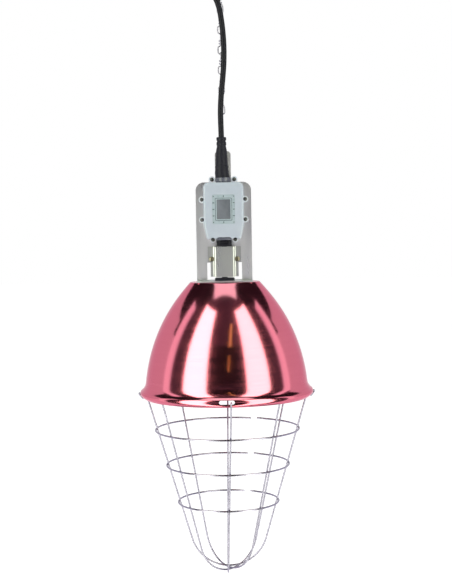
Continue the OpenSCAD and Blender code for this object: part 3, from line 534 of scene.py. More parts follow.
def guard_half(depth, hooked):
    low = wire_radius(depth)
    bow_radius = low * cos(radians(lean_in)) / (1 - sin(radians(lean_in)))
    inside = wire_radius(-leg_height if hooked else 134)
    if hooked:
        start = [
            (LIP + 1.6, -141.2), (LIP + 4.8, leg_height - 2.9), (RIM + 1.3, leg_height - 1),
            (RIM + 0.9, leg_height), (inside + 1.6, leg_height), (inside, leg_height - 1.6),
        ]
    else:
        start = [(RIM - 1.7, SLOT_HEIGHT), (inside + 1.6, -133.6), (inside, -135.4)]
    line = [(p.x, p.y) for p in eased(start, 3)]
    line += [(wire_radius(d), -d) for d in (150, 200, 250)]
    return line + bow((0, bow_radius - depth), bow_radius, -lean_in, -90, 14)


guard_wires = []
for number, heading in enumerate(HEADINGS, 1):
    half = guard_half(GUARD_DEPTH - (GUARD_WIRE + 0.1) * (4 - number), number in (1, 4))
    turn = radians(heading - 90)
    path = []
    for r, z in half + [(-r, z) for r, z in reversed(half[:-1])]:
        shift = sway(heading, r > 0, -z)
        path.append(at(r * cos(turn) + shift, r * sin(turn), z))
    wire = swept_wire(f"guard_wire_{number}", path, mm(GUARD_WIRE), 12, (-sin(turn), cos(turn), 0))
    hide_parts(f"guard_loop_{number}")
    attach(wire, "lamp")
    guard_wires.append(wire)
print("guard wires:", len(guard_wires), "lean", round(lean_in, 1), "degrees")

# %% [markdown]
# # The rings of the guard
# Three rings keep the wires apart. Each is a wire bent round and left open at the back, with one end a
# little lower than the other. A torus is always closed, so we sweep a wire along most of a circle
# instead.

# %% Guard rings
for number, depth in enumerate(RINGS, 1):
    radius = wire_radius(depth) + (GUARD_WIRE + 0.05) / cos(radians(lean_in))
    half_gap = degrees(asin((6.5 + GUARD_WIRE) / 2 / radius))
    line = bow((0, 0), radius, 67 + half_gap, 67 + 360 - half_gap, 120)
    path = []
    for i, (x, y) in enumerate(line):
        near_end = max(0, 3 - min(i, len(line) - 1 - i)) / 3
        path.append(at(x, y, -depth - 0.35 * near_end * (1 if i < 9 else -1)))
    ring = swept_wire(f"guard_hoop_{number}", path, mm(GUARD_WIRE), 12, (0, 0, 1))
    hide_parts(f"guard_ring_{number}")
    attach(ring, "lamp")
    guard_wires.append(ring)
print("rings at", RINGS, "mm under the top")

# %% [markdown]
# # The welds of the guard
# Each ring is spot welded where it crosses a wire, and a weld shows as a small swelling. We place a
# flattened bead at each crossing. Twenty-four separate beads would be a crowd in the outliner, so they
# share one mesh.


# %% Welds
def beads(name, radius, places):
    corners, faces = [], []
    rings, sides = 5, 10
    for centre, stretch in places:
        start = len(corners)
        for i in range(rings + 1):
            up = pi * i / rings
            for k in range(sides):
                turn = 2 * pi * k / sides
                ball = Vector((sin(up) * cos(turn), sin(up) * sin(turn), cos(up)))
                corners.append(centre + ball * radius * Vector(stretch))
        for i in range(rings):
            for k in range(sides):
                a, b = start + i * sides + k, start + i * sides + (k + 1) % sides
                faces.append((a, a + sides, b + sides, b))
    return new_piece(name, corners, faces, 60)


weld_places = []
for depth in RINGS:
    radius = wire_radius(depth) + GUARD_WIRE / 2
    for heading in HEADINGS:
        for half_turn in (0, 180):
            turn = radians(heading - 90 + half_turn)
            shift = sway(heading, half_turn == 0, depth)
            crossing = at(radius * cos(turn) + shift, radius * sin(turn), -depth)
            weld_places.append((crossing, (1, 1, 0.8)))
guard_welds = beads("guard_welds", mm(1), weld_places)
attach(guard_welds, "lamp")
guard_wires.append(guard_welds)
print("welds:", len(weld_places))

# %% [markdown]
# # The reflector
# The reflector is spun from a disc of aluminium over a wooden form, and its edge is rolled. So its shape
# is an outline turned about the axis: a bell curve, a short flare and a rolled rim with its hem turned
# in. The bell is one Bezier curve. The sheet's inner side is the same line moved in by one millimetre,
# and four slots are cut through the rim for the guard.

# %% Reflector outline
bell_corners = [Vector(p) for p in ((43, 0), (43, -4.7), (89.8, -41.4), (98.4, -122))]


def bell(t):
    a, b, c, d = bell_corners
    return (1 - t) ** 3 * a + 3 * t * (1 - t) ** 2 * b + 3 * t * t * (1 - t) * c + t**3 * d


rim_points = [
    (98.4, -122), (99.5, -125.4), (101.7, -128.6), (104.2, -130.8), (105.1, -132.6), (105.2, -134.1),
    (104.4, -136.1), (102.8, -137.8), (101, -139.2), (100.2, -139.8),
]
crown = [(0, 0), (20, 0), (40.8, 0), (42.1, -0.25), (42.8, -0.9)]
outer_line = [Vector(p) for p in crown] + [bell(0.16 + 0.84 * i / 56) for i in range(56)]
outer_line += eased([Vector(p) for p in rim_points], 4)
inner_line = []
for i, p in enumerate(outer_line):
    along = direction(outer_line, i)
    inner_line.append(p + Vector((along.y, -along.x)) * 1.0)
inner_line[0] = Vector((0, -1))
shade_outline = [tuple(p) for p in outer_line] + [(99.6, -139.9), (99.3, -139.4)]
shade_outline += [tuple(p) for p in reversed(inner_line)]
print("outline points:", len(shade_outline))

# %% [markdown]
# # Turning the reflector
# The outline is turned in many fine steps, because a mirror shows every facet. Faces could be left out
# for the slots, but a tool of the slot's own shape cuts clean round ends through both sides of the
# sheet.

# %% Reflector
reflector = turned("spun_reflector", shade_outline, 160, sharp=50)
slot_tools = []
for n in range(4):
    tool = upright_prism("slot_tool", soft_rectangle(18, 4.6, 2.29, 0, SLOT_HEIGHT, 6), -97, -110)
    tool.data.transform(Matrix.Rotation(n * pi / 2, 4, "Z"))
    slot_tools.append(tool)
carve(reflector, slot_tools, 50)
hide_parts("reflector_shade")
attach(reflector, "lamp")
print("spun_reflector:", len(reflector.data.polygons), "faces")

# %% [markdown]
# # The cable cover
# The cable runs down behind a cover that is folded from thin sheet, with two ears for its screws. Bent
# sheet never has sharp corners, and the bright lines beside the cover in the picture are its bends. We
# walk along the section of the sheet with round bends and give it its thickness at the end.


# %% Cable cover
PLATE_FRONT, COVER_SHEET = -0.75, 1.0


def folded_section(outer, half=12.0, depth=14.45, bend=1.8):
    line = [(outer, 0), (half + bend, 0)] + bow((half + bend, bend), bend, -90, -180, 6)[1:]
    line += bow((half - bend, depth - bend), bend, 0, 90, 6) + [(0, depth)]
    front = [Vector(p) for p in line]
    back = []
    for i, p in enumerate(front):
        along = direction(front, i)
        back.append(p - Vector((along.y, -along.x)) * COVER_SHEET)
    back[0], back[-1] = Vector((outer, -COVER_SHEET)), Vector((0, depth - COVER_SHEET))
    return front, back


def cover_part(name, outer, low, high):
    front, back = folded_section(outer)
    ring = [(p.x, p.y) for p in front] + [(-p.x, p.y) for p in reversed(front[:-1])]
    ring += [(-p.x, p.y) for p in back] + [(p.x, p.y) for p in reversed(back[:-1])]
    count = len(ring)
    corners = [at(x, PLATE_FRONT - COVER_SHEET - y, z) for z in (low, high) for x, y in ring]
    faces = []
    for i in range(count):
        j = (i + 1) % count
        faces.append((i, j, j + count, i + count))
    for level in (0, count):
        for i in range(count // 2 - 1):
            quad = (i, i + 1, count - 2 - i, count - 1 - i)
            faces.append(tuple(level + v for v in quad))
    return new_piece(name, corners, faces, 30)


print("a folded section has", len(folded_section(20)[0]), "points a side")

# %% [markdown]
# # The cover's sheet
# The folded section is drawn out to the cover's full height, with its edges as wide as the ears. A
# maker cuts the sheet to shape before folding it. Here it is easier to fold first and then narrow the
# edges below the ears with two tools.

# %% Cover sheet
cable_cover = cover_part("folded_cover", 20, 6, 42.4)
trims = []
for side in (-1, 1):
    trims.append(upright_prism("trim_tool", soft_rectangle(6, 30, 1, side * 19.9, 8.6), 2, -4))
carve(cable_cover, trims, 30)
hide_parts("cable_cover")
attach(cable_cover, "lamp")
print("folded_cover:", len(cable_cover.data.polygons), "faces")

# %% [markdown]
# # Screws
# The screws made here are pan heads with a cross recess, in two sizes. A head is a dome that we turn
# about the screw's own axis, and the cross is cut with two small bars. One mesh of each size serves all
# the places, as one bag of screws would.


# %% One screw
def screw_mesh(name, head_radius, head_height, shaft_radius, shaft_length, sides=32):
    outline = [(0, head_height)]
    for a in range(15, 91, 15):
        rise = 0.25 + 0.75 * cos(radians(a))
        outline.append((head_radius * sin(radians(a)), head_height * rise))
    outline += [(head_radius, 0), (shaft_radius, 0), (shaft_radius, 0.6 - shaft_length), (0, -shaft_length)]
    corners, faces = [], []
    for k in range(sides):
        turn = 2 * pi * k / sides
        corners += [Vector((r * cos(turn), -y, r * sin(turn))) / 1000 for r, y in outline]
    count = len(outline)
    for k in range(sides):
        a, b = k * count, (k + 1) % sides * count
        faces += [(a + i, a + i + 1, b + i + 1, b + i) for i in range(count - 1)]
    screw = new_piece(name, corners, faces, 35)
    bars = []
    for wide, high in ((0.5, 0.12), (0.12, 0.5)):
        cross = soft_rectangle(2 * wide * head_radius, 2 * high * head_radius, 0.1, 0, 0, 2)
        bar = upright_prism("cross_tool", cross, 0.7 - head_height, -head_height - 1)
        bar.data.transform(Matrix.Translation((0, 0, -top)))
        bars.append(bar)
    return carve(screw, bars, 35)


def screws(name, pattern, places, seat):
    made = copies(pattern, name, len(places))
    for i, (screw, (x, z)) in enumerate(zip(made, places), 1):
        screw.location = at(x, seat, z)
        screw.rotation_euler = (0, radians(37 * i), 0)
        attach(screw, "lamp")
    return made


cover_screw = screw_mesh("cover_screw_1", 3.1, 1.9, 1.5, 4.5)
cover_screw_pieces = screws("cover_screw", cover_screw, [(-15.6, 27.2), (15.6, 27.2)], -1.75)
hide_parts("cable_cover_screws")
EARS = [(13.4, 122.8), (26, 99), (26, 74.8), (13.4, 50.9)]
lid_screw_places = [(side * x, z) for side in (-1, 1) for x, z in EARS]
lid_screw = screw_mesh("lid_screw_1", 2.3, 1.7, 1.3, 7.5)
lid_screw_pieces = screws("lid_screw", lid_screw, lid_screw_places, -9.95)
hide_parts("lid_screws")
print("screws:", len(cover_screw_pieces) + len(lid_screw_pieces))

# %% [markdown]
# # The lid of the control box
# The lid is moulded in pale plastic. Its front edge is round, it has eight ears for its screws, and a
# field in its front is sunk for a small window with twelve marks round it. We stack smaller and smaller
# outlines for the round edge, then cut the hollow, the wells and the field as the mould's cores do.

# %% Lid outline
BOX_CORNERS = [(18, 113, 6), (16, 69, 8), (17.9, 54, 3)]
taper = degrees(asin(5 / hypot(1.9, 15)) - atan(1.9 / 15))


def box_line(margin):
    right = []
    for (x, z, r), (start, end) in zip(BOX_CORNERS, [(90, 0), (0, -taper), (-taper, -90)]):
        right += bow((x, z), r - margin, start, end, 8)
    return right + [(-x, z) for x, z in reversed(right)]


def stacked(name, levels):
    return layered(name, [[at(x, depth, z) for x, z in box_line(margin)] for margin, depth in levels])


LID_BACK, LID_FRONT, LID_EDGE, WALL = -6.25, -26.75, 2.4, 2
lid_levels = [(0.3, LID_BACK), (0, LID_BACK - 0.3)]
for a in range(0, 91, 15):
    lid_levels.append((LID_EDGE * (1 - cos(radians(a))), LID_FRONT + LID_EDGE * (1 - sin(radians(a)))))
print("the lid's outline has", len(box_line(0)), "points in", len(lid_levels), "levels")


# %% [markdown]
# # The ears of the lid
# Each screw of the lid goes through a round ear that grows out of the wall. Loose ears that sink into
# the lid would leave faces hidden inside it. We join them with a boolean, so the lid stays one closed
# skin.

# %% Lid ears
EAR = 3.9
ROOT_SIDE, ROOT_TOP, ROOT_LOW = 22.5, 117.8, 54.3


def ear_line(x, z):
    if abs(x) > ROOT_SIDE:
        side = 1 if x > 0 else -1
        line = bow((x, z), EAR, -90 * side, 180 - 90 * side, 10)
        return line + [(side * ROOT_SIDE, z + side * EAR), (side * ROOT_SIDE, z - side * EAR)]
    if z > ROOT_TOP:
        return bow((x, z), EAR, 0, 180, 10) + [(x - EAR, ROOT_TOP), (x + EAR, ROOT_TOP)]
    return bow((x, z), EAR, -180, 0, 10) + [(x + EAR, ROOT_LOW), (x - EAR, ROOT_LOW)]


lid = stacked("lid_moulding", lid_levels)
ears = [upright_prism("ear", ear_line(x, z), LID_BACK, LID_BACK - 5) for x, z in lid_screw_places]
combine("UNION", lid, ears, 30)
print("ears:", len(lid_screw_places))

# %% [markdown]
# # The hollow, the wells and the field
# A moulded lid is a thin shell. Round posts stand in its hollow where the screws pass, and wells let
# the heads sink in. The front gets a shallow field with a hole for the pane, and the lower end a notch
# for the gland. The tool for the hollow first gets the posts cut out of itself, so a single cut leaves
# the shell and its posts.

# %% Lid hollow, wells and field
hollow = upright_prism("hollow_tool", box_line(WALL), LID_BACK + 1, LID_FRONT + WALL)
carve(hollow, [round_tool("post", x, z, EAR, 0, -40) for x, z in lid_screw_places])
WELL_RADIUS, HOLE_RADIUS = 2.5, 1.5
wells = [round_tool("well", x, z, WELL_RADIUS, -9.85, -30) for x, z in lid_screw_places]
wells += [round_tool("hole", x, z, HOLE_RADIUS, -4, -12, 16) for x, z in lid_screw_places]
FIELD, PANE_HOLE = 87, (16.4, 23.6)
sinks = [upright_prism("field_tool", soft_rectangle(27, 35, 1.2, 0, FIELD), LID_FRONT + 0.7, -30)]
sinks += [upright_prism("pane_tool", soft_rectangle(*PANE_HOLE, 0.8, 0, FIELD), LID_FRONT + 1.2, -30)]

NOTCH_HALF, NOTCH_TOP = 9.45, 53.8


def notch_line(low, margin):
    half, high = NOTCH_HALF - margin, NOTCH_TOP - margin
    line = [(-half, low), (half, low)] + bow((half - 3.5, high - 3.5), 3.5, 0, 90, 6)
    return line + bow((3.5 - half, high - 3.5), 3.5, 90, 180, 6)


notch = upright_prism("notch_tool", notch_line(45, 0), LID_BACK + 1, -30)
carve(lid, [hollow, notch] + wells + sinks, 30)
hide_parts("box_lid")
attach(lid, "lamp")
print("lid_moulding:", len(lid.data.polygons), "faces")

# %% [markdown]
# # The window and the marks
# A thin foil lines the sunk field. It has an opening for a smoked pane, a narrow line round that opening
# and twelve small dark marks, short strokes at the sides and dots at the corners. On a real lid these are
# printed or pressed in. We give each a little height, so that light finds their edges.


# %% Window
def soft_slab(name, width, height, corner, back, front, bevel):
    outer = soft_rectangle(width, height, corner, 0, FIELD)
    inner = soft_rectangle(width - 2 * bevel, height - 2 * bevel, max(corner - bevel, 0.1), 0, FIELD)
    levels = [(inner, front), (outer, front + bevel), (outer, back)]
    return layered(name, [[at(x, LID_FRONT + y, z) for x, z in line] for line, y in levels])


def opening(width, height):
    return upright_prism("opening_tool", soft_rectangle(width, height, 0.8, 0, FIELD), -20, -30)


window_pane = soft_slab("window_pane", 16.2, 23.4, 0.8, 1.2, 0.85, 0.2)
field_foil = soft_slab("field_foil", 26.8, 34.8, 1.1, 0.75, 0.55, 0.1)
carve(field_foil, [opening(*PANE_HOLE)], 30)
frame_line = soft_slab("frame_line", 20.2, 27, 1.2, 0.6, 0.45, 0.1)
carve(frame_line, [opening(19, 25.8)], 30)
for piece in (window_pane, field_foil, frame_line):
    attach(piece, "lamp")
print("the window is made of 3 pieces")


# %% [markdown]
# # Twelve marks
# Five marks stand at each side of the window, one above and one below. A texture could draw them, but
# it would look flat and blurred from near by. Flattened beads like those of the welds stand out a
# little, as the real marks seem to do.

# %% Marks
MARK_Y = LID_FRONT + 0.55
LYING, ROUND, UPRIGHT = (1.7, 0.5, 0.8), (0.9, 0.5, 0.9), (0.8, 0.5, 1.7)
marks = []
for side in (-1, 1):
    for step in (-2, -1, 0, 1, 2):
        marks.append((at(side * 12.1, MARK_Y, FIELD + 7.7 * step), LYING if abs(step) < 2 else ROUND))
    marks.append((at(0, MARK_Y, FIELD + side * 15.4), UPRIGHT))
light_pipes = beads("light_pipes", mm(0.75), marks)
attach(light_pipes, "lamp")
print("marks:", len(marks))

# %% [markdown]
# # Rubber parts
# Rubber is moulded round what it holds. The strain relief is a tapered sleeve with two ribs at its tip
# and a flange on the lid, and its outline is turned like the plug's. In the picture the cord pulls it a
# little to the left, so its points above the flange are moved over by 1.3 millimetres.

# %% Strain relief
relief_outline = [
    (3.5, 115.2), (8.4, 115.2), (8.4, 116.8), (7, 116.8), (7, 119.8), (8.9, 119.8), (8.9, 123.4),
    (8.75, 124), (8.4, 131), (7.9, 136), (8.2, 136.6), (8.1, 138.4), (7.5, 139), (6.7, 156), (5.3, 163),
    (5.9, 163.6), (5.9, 166.8), (5.2, 167.4), (5.2, 168.8), (5.9, 169.4), (5.9, 172.4), (5.3, 173),
    (3.5, 173),
]
LEAN, FLANGE_TOP, LEAN_RISE = 1.3, 122, 8
relief = turned("relief_sleeve", rounded_outline(relief_outline), 56, 0, -14.5)
for vertex in relief.data.vertices:
    share = (vertex.co.z - at(0, 0, FLANGE_TOP).z) / mm(LEAN_RISE)
    vertex.co.x -= mm(LEAN) * min(max(share, 0), 1)
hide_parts("strain_relief")
# The collar is a thin skin over the relief's flange; it carries a painted reflection on the black rubber.
collar_outline = [
    (7.05, 119.15), (8.1, 119.15), (8.8, 119.5), (9.1, 120.2), (9.2, 121.2), (9.2, 124), (9.1, 124.5),
    (8.95, 124.7), (8.95, 119.7), (7.05, 119.7),
]
relief_collar = turned("relief_collar", collar_outline, 56, 0, -14.5)
for piece in (relief, relief_collar):
    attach(piece, "lamp")
print("relief_sleeve:", len(relief.data.polygons), "faces")


# %% [markdown]
# # Gland and grommet
# Below the box a flat gland holds the cable, and a grommet guards it where it goes through the foot.
# Both are long instead of round, so they can't be turned. We stack a few rounded outlines of slightly
# different size and cut the hole for the cable.

# %% Gland and grommet
CABLE_Y = -11.5


def stadium(width, depth, height, sides=12):
    r = depth / 2
    right = bow((width / 2 - r, CABLE_Y), r, -90, 90, sides)
    left = [(-x, 2 * CABLE_Y - y) for x, y in right]
    return [at(x, y, height) for x, y in right + left]


def cable_sleeve(name, levels, hole=3.5):
    sleeve = layered(name, [stadium(*level) for level in levels], 35)
    edge = bow((0, CABLE_Y), hole, 0, 360 - 360 / 32, 31)
    low, high = levels[0][2] - 2, levels[-1][2] + 2
    return carve(sleeve, [layered("hole_tool", [[at(x, y, z) for x, y in edge] for z in (low, high)])])


gland_levels = [
    (17.3, 8.6, 42.75), (18.4, 9.7, 43.1), (18.7, 10, 43.7), (18.7, 10, 45.4), (18, 9.3, 45.7),
    (18, 9.3, 46.2), (18.7, 10, 46.5), (18.7, 10, 49.45),
]
grommet_levels = [
    (19.8, 10.2, 0.1), (19.8, 10.2, 1.58), (24, 14, 1.62), (24, 14, 3.9), (23.2, 13.2, 4.8),
    (21.6, 11.6, 5.2),
]
gland = cable_sleeve("gland_sleeve", gland_levels)
# This block in the lid's notch is black rubber; its grey-blue finish below is a painted reflection.
block_levels = [(0.9, -26.35), (0.35, -26.1), (0.1, -25.4), (0.1, -7), (0.5, -6.6)]
block_layers = [[at(x, y, z) for x, z in notch_line(49.4 + m, m)] for m, y in block_levels]
gland_block = layered("gland_block", block_layers, 35)
grommet = cable_sleeve("grommet_ring", grommet_levels)
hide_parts("outlet_gland")
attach(gland_block, "lamp")
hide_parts("foot_grommet")
for piece in (gland, grommet):
    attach(piece, "lamp")
print("gland and grommet are made")

# %% [markdown]
# # Rivets
# Five blind rivets hold the bracket's foot to the reflector. Each has a low dome above the foot and a
# rolled head under the holder's plate. They are turned about their own axes and share one mesh.

# %% Rivets
rivet_outline = [
    (0, 2.7), (0.9, 2.62), (1.8, 2.4), (2.5, 2.05), (2.95, 1.66), (2.95, 1.52), (2, 1.5), (2, -2.2),
    (2.6, -2.25), (2.75, -2.7), (2.3, -3.3), (1.2, -3.35), (0, -3.1),
]
rivet_places = [(29.5, -8), (22, -20), (-29.5, -8), (-22, -20), (0, 12)]
rivet_pieces = copies(turned("foot_rivet_1", rivet_outline, 32), "foot_rivet", len(rivet_places))
for rivet, (x, y) in zip(rivet_pieces, rivet_places):
    rivet.location = (mm(x), mm(y), 0)
    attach(rivet, "lamp")
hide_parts("foot_rivets")
print("rivets:", len(rivet_pieces))

# %% [markdown]
# # The screw socket
# Inside the reflector a porcelain holder carries a brass screw shell. A real shell is rolled, so its
# thread is a soft wave that climbs as it goes round. We turn the shell as before and let its radius swing
# with height and turn together, which makes one continuous spiral.

# %% Shell
THREAD_PITCH = 3.63
SHELL_HOLE = 6.7


def thread(height, turn):
    into = min(max((-29 - height) / 1.5, 0), 1) * min(max((height + 46) / 1.2, 0), 1)
    return 0.36 * into * cos(2 * pi * height / THREAD_PITCH + turn) - 0.12 * into


shell_steps = [(-27.8 - 18.9 * i / 52) for i in range(53)]
shell_outline = [(SHELL_HOLE, -24.1), (12.6, -24.1), (12.7, -24.8), (12.7, -27.4), (13.8, -27.9)]
shell_outline += [(13.85, z) for z in shell_steps[1:]]
shell_outline += [(13.35, z) for z in reversed(shell_steps[1:])]
shell_outline += [(13.3, -27.9), (12.2, -27.5), (12.2, -24.7), (SHELL_HOLE, -24.7)]
screw_shell = turned("screw_shell", shell_outline, 72, sharp=60, wave=thread)
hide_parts("lampholder_shell")
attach(screw_shell, "lamp")
print("screw_shell:", len(screw_shell.data.polygons), "faces")

# %% [markdown]
# # Finishes
# Now every piece gets a finish. Real surfaces are never quite even: zinc is cloudy, wire is drawn, rubber
# is dusty and spun metal shows its turning marks. One function builds such a finish from two colours and
# a noise, which also moves the roughness and raises a fine relief. Numbers that are the same all over sit
# on the shader itself.


# %% A finish
def colour(red, green, blue):
    values = []
    for v in (red / 255, green / 255, blue / 255):
        values.append(v / 12.92 if v <= 0.04045 else ((v + 0.055) / 1.055) ** 2.4)
    return (*values, 1)


def set_sockets(node, values):
    for name, value in values.items():
        node.inputs[name].default_value = value


def add_node(tree, kind, values=None, **settings):
    node = tree.nodes.new(f"ShaderNode{kind}")
    for name, value in settings.items():
        setattr(node, name, value)
    set_sockets(node, values or {})
    return node


def connect(tree, *links):
    for node, output, other, socket in links:
        tree.links.new(node.outputs[output], other.inputs[socket])


def shader_of(material):
    return material.node_tree.nodes["Principled BSDF"]


finishes = {}


def finish(
    name, dark, light, rough, grain=300, stretch=(1, 1, 1), shift=0.06, relief=0.15, lift=0.05, metallic=0
):
    material = bpy.data.materials.new(name)
    material.use_nodes = True
    tree = material.node_tree
    shader = shader_of(material)
    set_sockets(shader, {"Metallic": metallic})
    place = add_node(tree, "TexCoord")
    scale = add_node(tree, "Mapping", {"Scale": [grain * s for s in stretch]})
    noise = add_node(tree, "TexNoise", {"Scale": 1, "Detail": 5})
    mix = add_node(tree, "Mix", {"A": colour(*dark), "B": colour(*light)}, data_type="RGBA")
    smoothest = max(rough - shift, 0.02)
    sheen_range = {"From Min": 0.3, "From Max": 0.7, "To Min": smoothest, "To Max": rough + shift}
    sheen = add_node(tree, "MapRange", sheen_range)
    bump = add_node(tree, "Bump", {"Strength": relief, "Distance": mm(lift)})
    connect(
        tree, (place, "Object", scale, "Vector"), (scale, "Vector", noise, "Vector"),
        (noise, "Fac", mix, "Factor"), (noise, "Fac", sheen, "Value"), (noise, "Fac", bump, "Height"),
        (mix, "Result", shader, "Base Color"), (sheen, "Result", shader, "Roughness"),
        (bump, "Normal", shader, "Normal"),
    )
    finishes[name] = material
    return material


print("finish() builds one noise, one colour mix, one roughness range and one bump")

# %% [markdown]
# # Metals
# The sheet parts are bright zinc or stainless steel, the chain and the guard are galvanised wire, and the
# screws are plated. They differ in how cloudy they are and in the way their marks run: sheet is rolled in
# one direction, so its noise is stretched, and wire is nearly even.

# %% Metals
METALS = {
    "sheet_steel": ((186, 184, 192), (216, 214, 222), 0.32, 90, (1, 1, 0.12), 0.05, 0.08),
    "fold_steel": ((162, 162, 165), (184, 184, 187), 0.3, 120, (0.5, 0.5, 0.08), 0.05, 0.1),
    "zinc_wire": ((113, 110, 125), (164, 159, 178), 0.26, 700, (1, 1, 1), 0.08, 0.2),
    "hook_wire": ((105, 102, 117), (146, 141, 160), 0.26, 500, (1, 1, 1), 0.06, 0.15),
    "guard_steel": ((126, 121, 141), (158, 152, 176), 0.28, 420, (1, 1, 0.3), 0.07, 0.15),
    "screw_zinc": ((92, 86, 76), (136, 128, 114), 0.3, 900, (1, 1, 1), 0.08, 0.2),
    "dark_zinc": ((60, 60, 62), (104, 104, 108), 0.4, 900, (1, 1, 1), 0.08, 0.2),
    "rivet_alloy": ((176, 176, 178), (208, 208, 210), 0.38, 700, (1, 1, 1), 0.06, 0.2),
    "plain_plate": ((150, 150, 150), (190, 190, 188), 0.4, 200, (1, 1, 1), 0.08, 0.15),
    "bare_alloy": ((170, 172, 174), (204, 206, 208), 0.4, 260, (1, 0.1, 1), 0.06, 0.2),
    "brass_metal": ((178, 140, 62), (216, 182, 98), 0.28, 260, (1, 1, 1), 0.08, 0.15),
    "copper_wire": ((170, 92, 54), (206, 124, 78), 0.34, 900, (1, 1, 1), 0.06, 0.2),
    "nickel": ((184, 180, 168), (214, 210, 198), 0.24, 400, (1, 1, 0.2), 0.06, 0.1),
}
for name, row in METALS.items():
    finish(name, *row, metallic=1)
print("metals:", len(METALS))

# %% [markdown]
# # Plastic, rubber and porcelain
# The cord's skin is soft black plastic with a faint grain. Black plastic and rubber mirror little of the
# white studio, so their shine is turned down. The holder is white glazed porcelain, which a clear coat
# over a matt body gives. Most rows of this table end with the depth of the relief in millimetres.

# %% Plastic, rubber and porcelain
OTHERS = {
    "pale_plastic": ((180, 191, 199), (194, 204, 211), 0.36, 160, (1, 1, 1), 0.05, 0.1, 0.03),
    "tray_plastic": ((188, 197, 204), (202, 211, 218), 0.42, 160, (1, 1, 1), 0.05, 0.15, 0.04),
    "cord_skin": ((13, 12, 20), (24, 23, 33), 0.42, 500, (1, 1, 0.3), 0.08, 0.25, 0.06),
    "soft_rubber": ((20, 20, 28), (34, 33, 44), 0.45, 400, (1, 1, 1), 0.08, 0.3, 0.06),
    # painted reflection: black rubber drawn grey-blue where its gloss would catch the light
    "painted_sheen_rubber": ((70, 72, 84), (98, 100, 114), 0.3, 300, (1, 1, 1), 0.06, 0.2, 0.05),
    "hard_black": ((24, 24, 26), (38, 38, 41), 0.34, 350, (1, 1, 1), 0.06, 0.15, 0.04),
    "plug_plastic": ((20, 20, 22), (34, 34, 37), 0.38, 260, (1, 1, 1), 0.08, 0.25, 0.05),
    "tie_plastic": ((30, 30, 33), (50, 50, 54), 0.4, 500, (1, 1, 1), 0.08, 0.2, 0.04),
    "smoked_pane": ((80, 86, 90), (150, 156, 160), 0.14, 60, (1, 1, 0.7), 0.04, 0.05, 0.02),
    "foil": ((158, 176, 178), (182, 197, 200), 0.3, 200, (1, 1, 1), 0.05, 0.1, 0.02),
    "mark_ink": ((66, 82, 82), (96, 112, 112), 0.3, 900, (1, 1, 1), 0.05, 0.1, 0.02),
    "porcelain_glaze": ((226, 224, 216), (240, 239, 233), 0.3, 120, (1, 1, 1), 0.05, 0.1, 0.05),
    "resin_yellow": ((196, 150, 40), (222, 178, 66), 0.4, 300),
    "terminal_plastic": ((40, 120, 70), (62, 150, 92), 0.42, 300),
    "core_skin": ((120, 74, 44), (148, 96, 60), 0.42, 500, (1, 1, 0.3)),
}
for name, row in OTHERS.items():
    finish(name, *row)
set_sockets(shader_of(finishes["porcelain_glaze"]), {"Coat Weight": 0.8, "Coat Roughness": 0.06})
for name in ("cord_skin", "soft_rubber", "hard_black", "plug_plastic", "tie_plastic"):
    set_sockets(shader_of(finishes[name]), {"Specular IOR Level": 0.12})
print("plastics and others:", len(OTHERS))

# %% [markdown]
# # The plastic of the lid
# The lid is pale, slightly cloudy plastic: light goes a little way in before it comes out again, which
# subsurface scattering gives. The ears lie far back and are thin, and the light that would shine through
# them is painted in: the colour is mixed towards a painted white from front to back.

# %% Plastic of the lid
PAINTED_LIGHT_FROM, PAINTED_LIGHT_TO = -20, -12
moulding = shader_of(finishes["pale_plastic"])
set_sockets(moulding, {"Subsurface Weight": 0.25, "Subsurface Scale": 1})
set_sockets(moulding, {"Subsurface Radius": (0.002, 0.0025, 0.003)})
tree = finishes["pale_plastic"].node_tree
spot = add_node(tree, "TexCoord")
axes = add_node(tree, "SeparateXYZ")
thin = add_node(tree, "MapRange", {"From Min": mm(PAINTED_LIGHT_FROM), "From Max": mm(PAINTED_LIGHT_TO)})
# painted light: the thin ears far back are mixed towards this near-white, as if light shone through them
paler = add_node(tree, "Mix", {"B": colour(228, 233, 238)}, data_type="RGBA")
cloudy = moulding.inputs["Base Color"].links[0].from_node
connect(
    tree, (spot, "Object", axes, "Vector"), (axes, "Y", thin, "Value"), (thin, "Result", paler, "Factor"),
    (cloudy, "Result", paler, "A"), (paler, "Result", moulding, "Base Color"),
)
print("the lid turns paler over", PAINTED_LIGHT_TO - PAINTED_LIGHT_FROM, "mm of depth")

# %% [markdown]
# # The circuit board
# A board is woven glass under a green lacquer, with copper tracks that shine through as a lighter green.
# A brick pattern with thin gaps reads as tracks at this size, and it costs two nodes. The box hides it,
# but an owner who opens the model finds it.

# %% Board
board_lacquer = finish("board_lacquer", (14, 74, 44), (22, 92, 56), 0.3, 400, (1, 1, 1), 0.05, 0.1, 0.02)
TRACKS = 260
tree = board_lacquer.node_tree
tracks = add_node(tree, "TexBrick", {"Scale": TRACKS, "Mortar Size": 0.06})
track_colours = {"Color1": colour(16, 80, 48), "Color2": colour(20, 90, 54), "Mortar": colour(56, 134, 84)}
set_sockets(tracks, track_colours)
flat = add_node(tree, "Mapping", {"Rotation": (radians(90), 0, 0)})
coordinates = next(n for n in tree.nodes if n.type == "TEX_COORD")
connect(
    tree, (coordinates, "Object", flat, "Vector"), (flat, "Vector", tracks, "Vector"),
    (tracks, "Color", shader_of(board_lacquer), "Base Color"),
)
print("the board has tracks", round(1000 / TRACKS, 1), "mm apart")

# %% [markdown]
# # Dyed, spun aluminium
# The reflector is anodised: its metal is under a hard clear skin that has taken up red dye. So the metal
# itself is tinted, and a thin clear coat over it mirrors in white. The spinning lathe leaves fine rings
# round the bell. A noise that is squeezed in height draws them. The metal's anisotropy follows a tangent
# that runs round the same axis, so each highlight is drawn out across the rings.

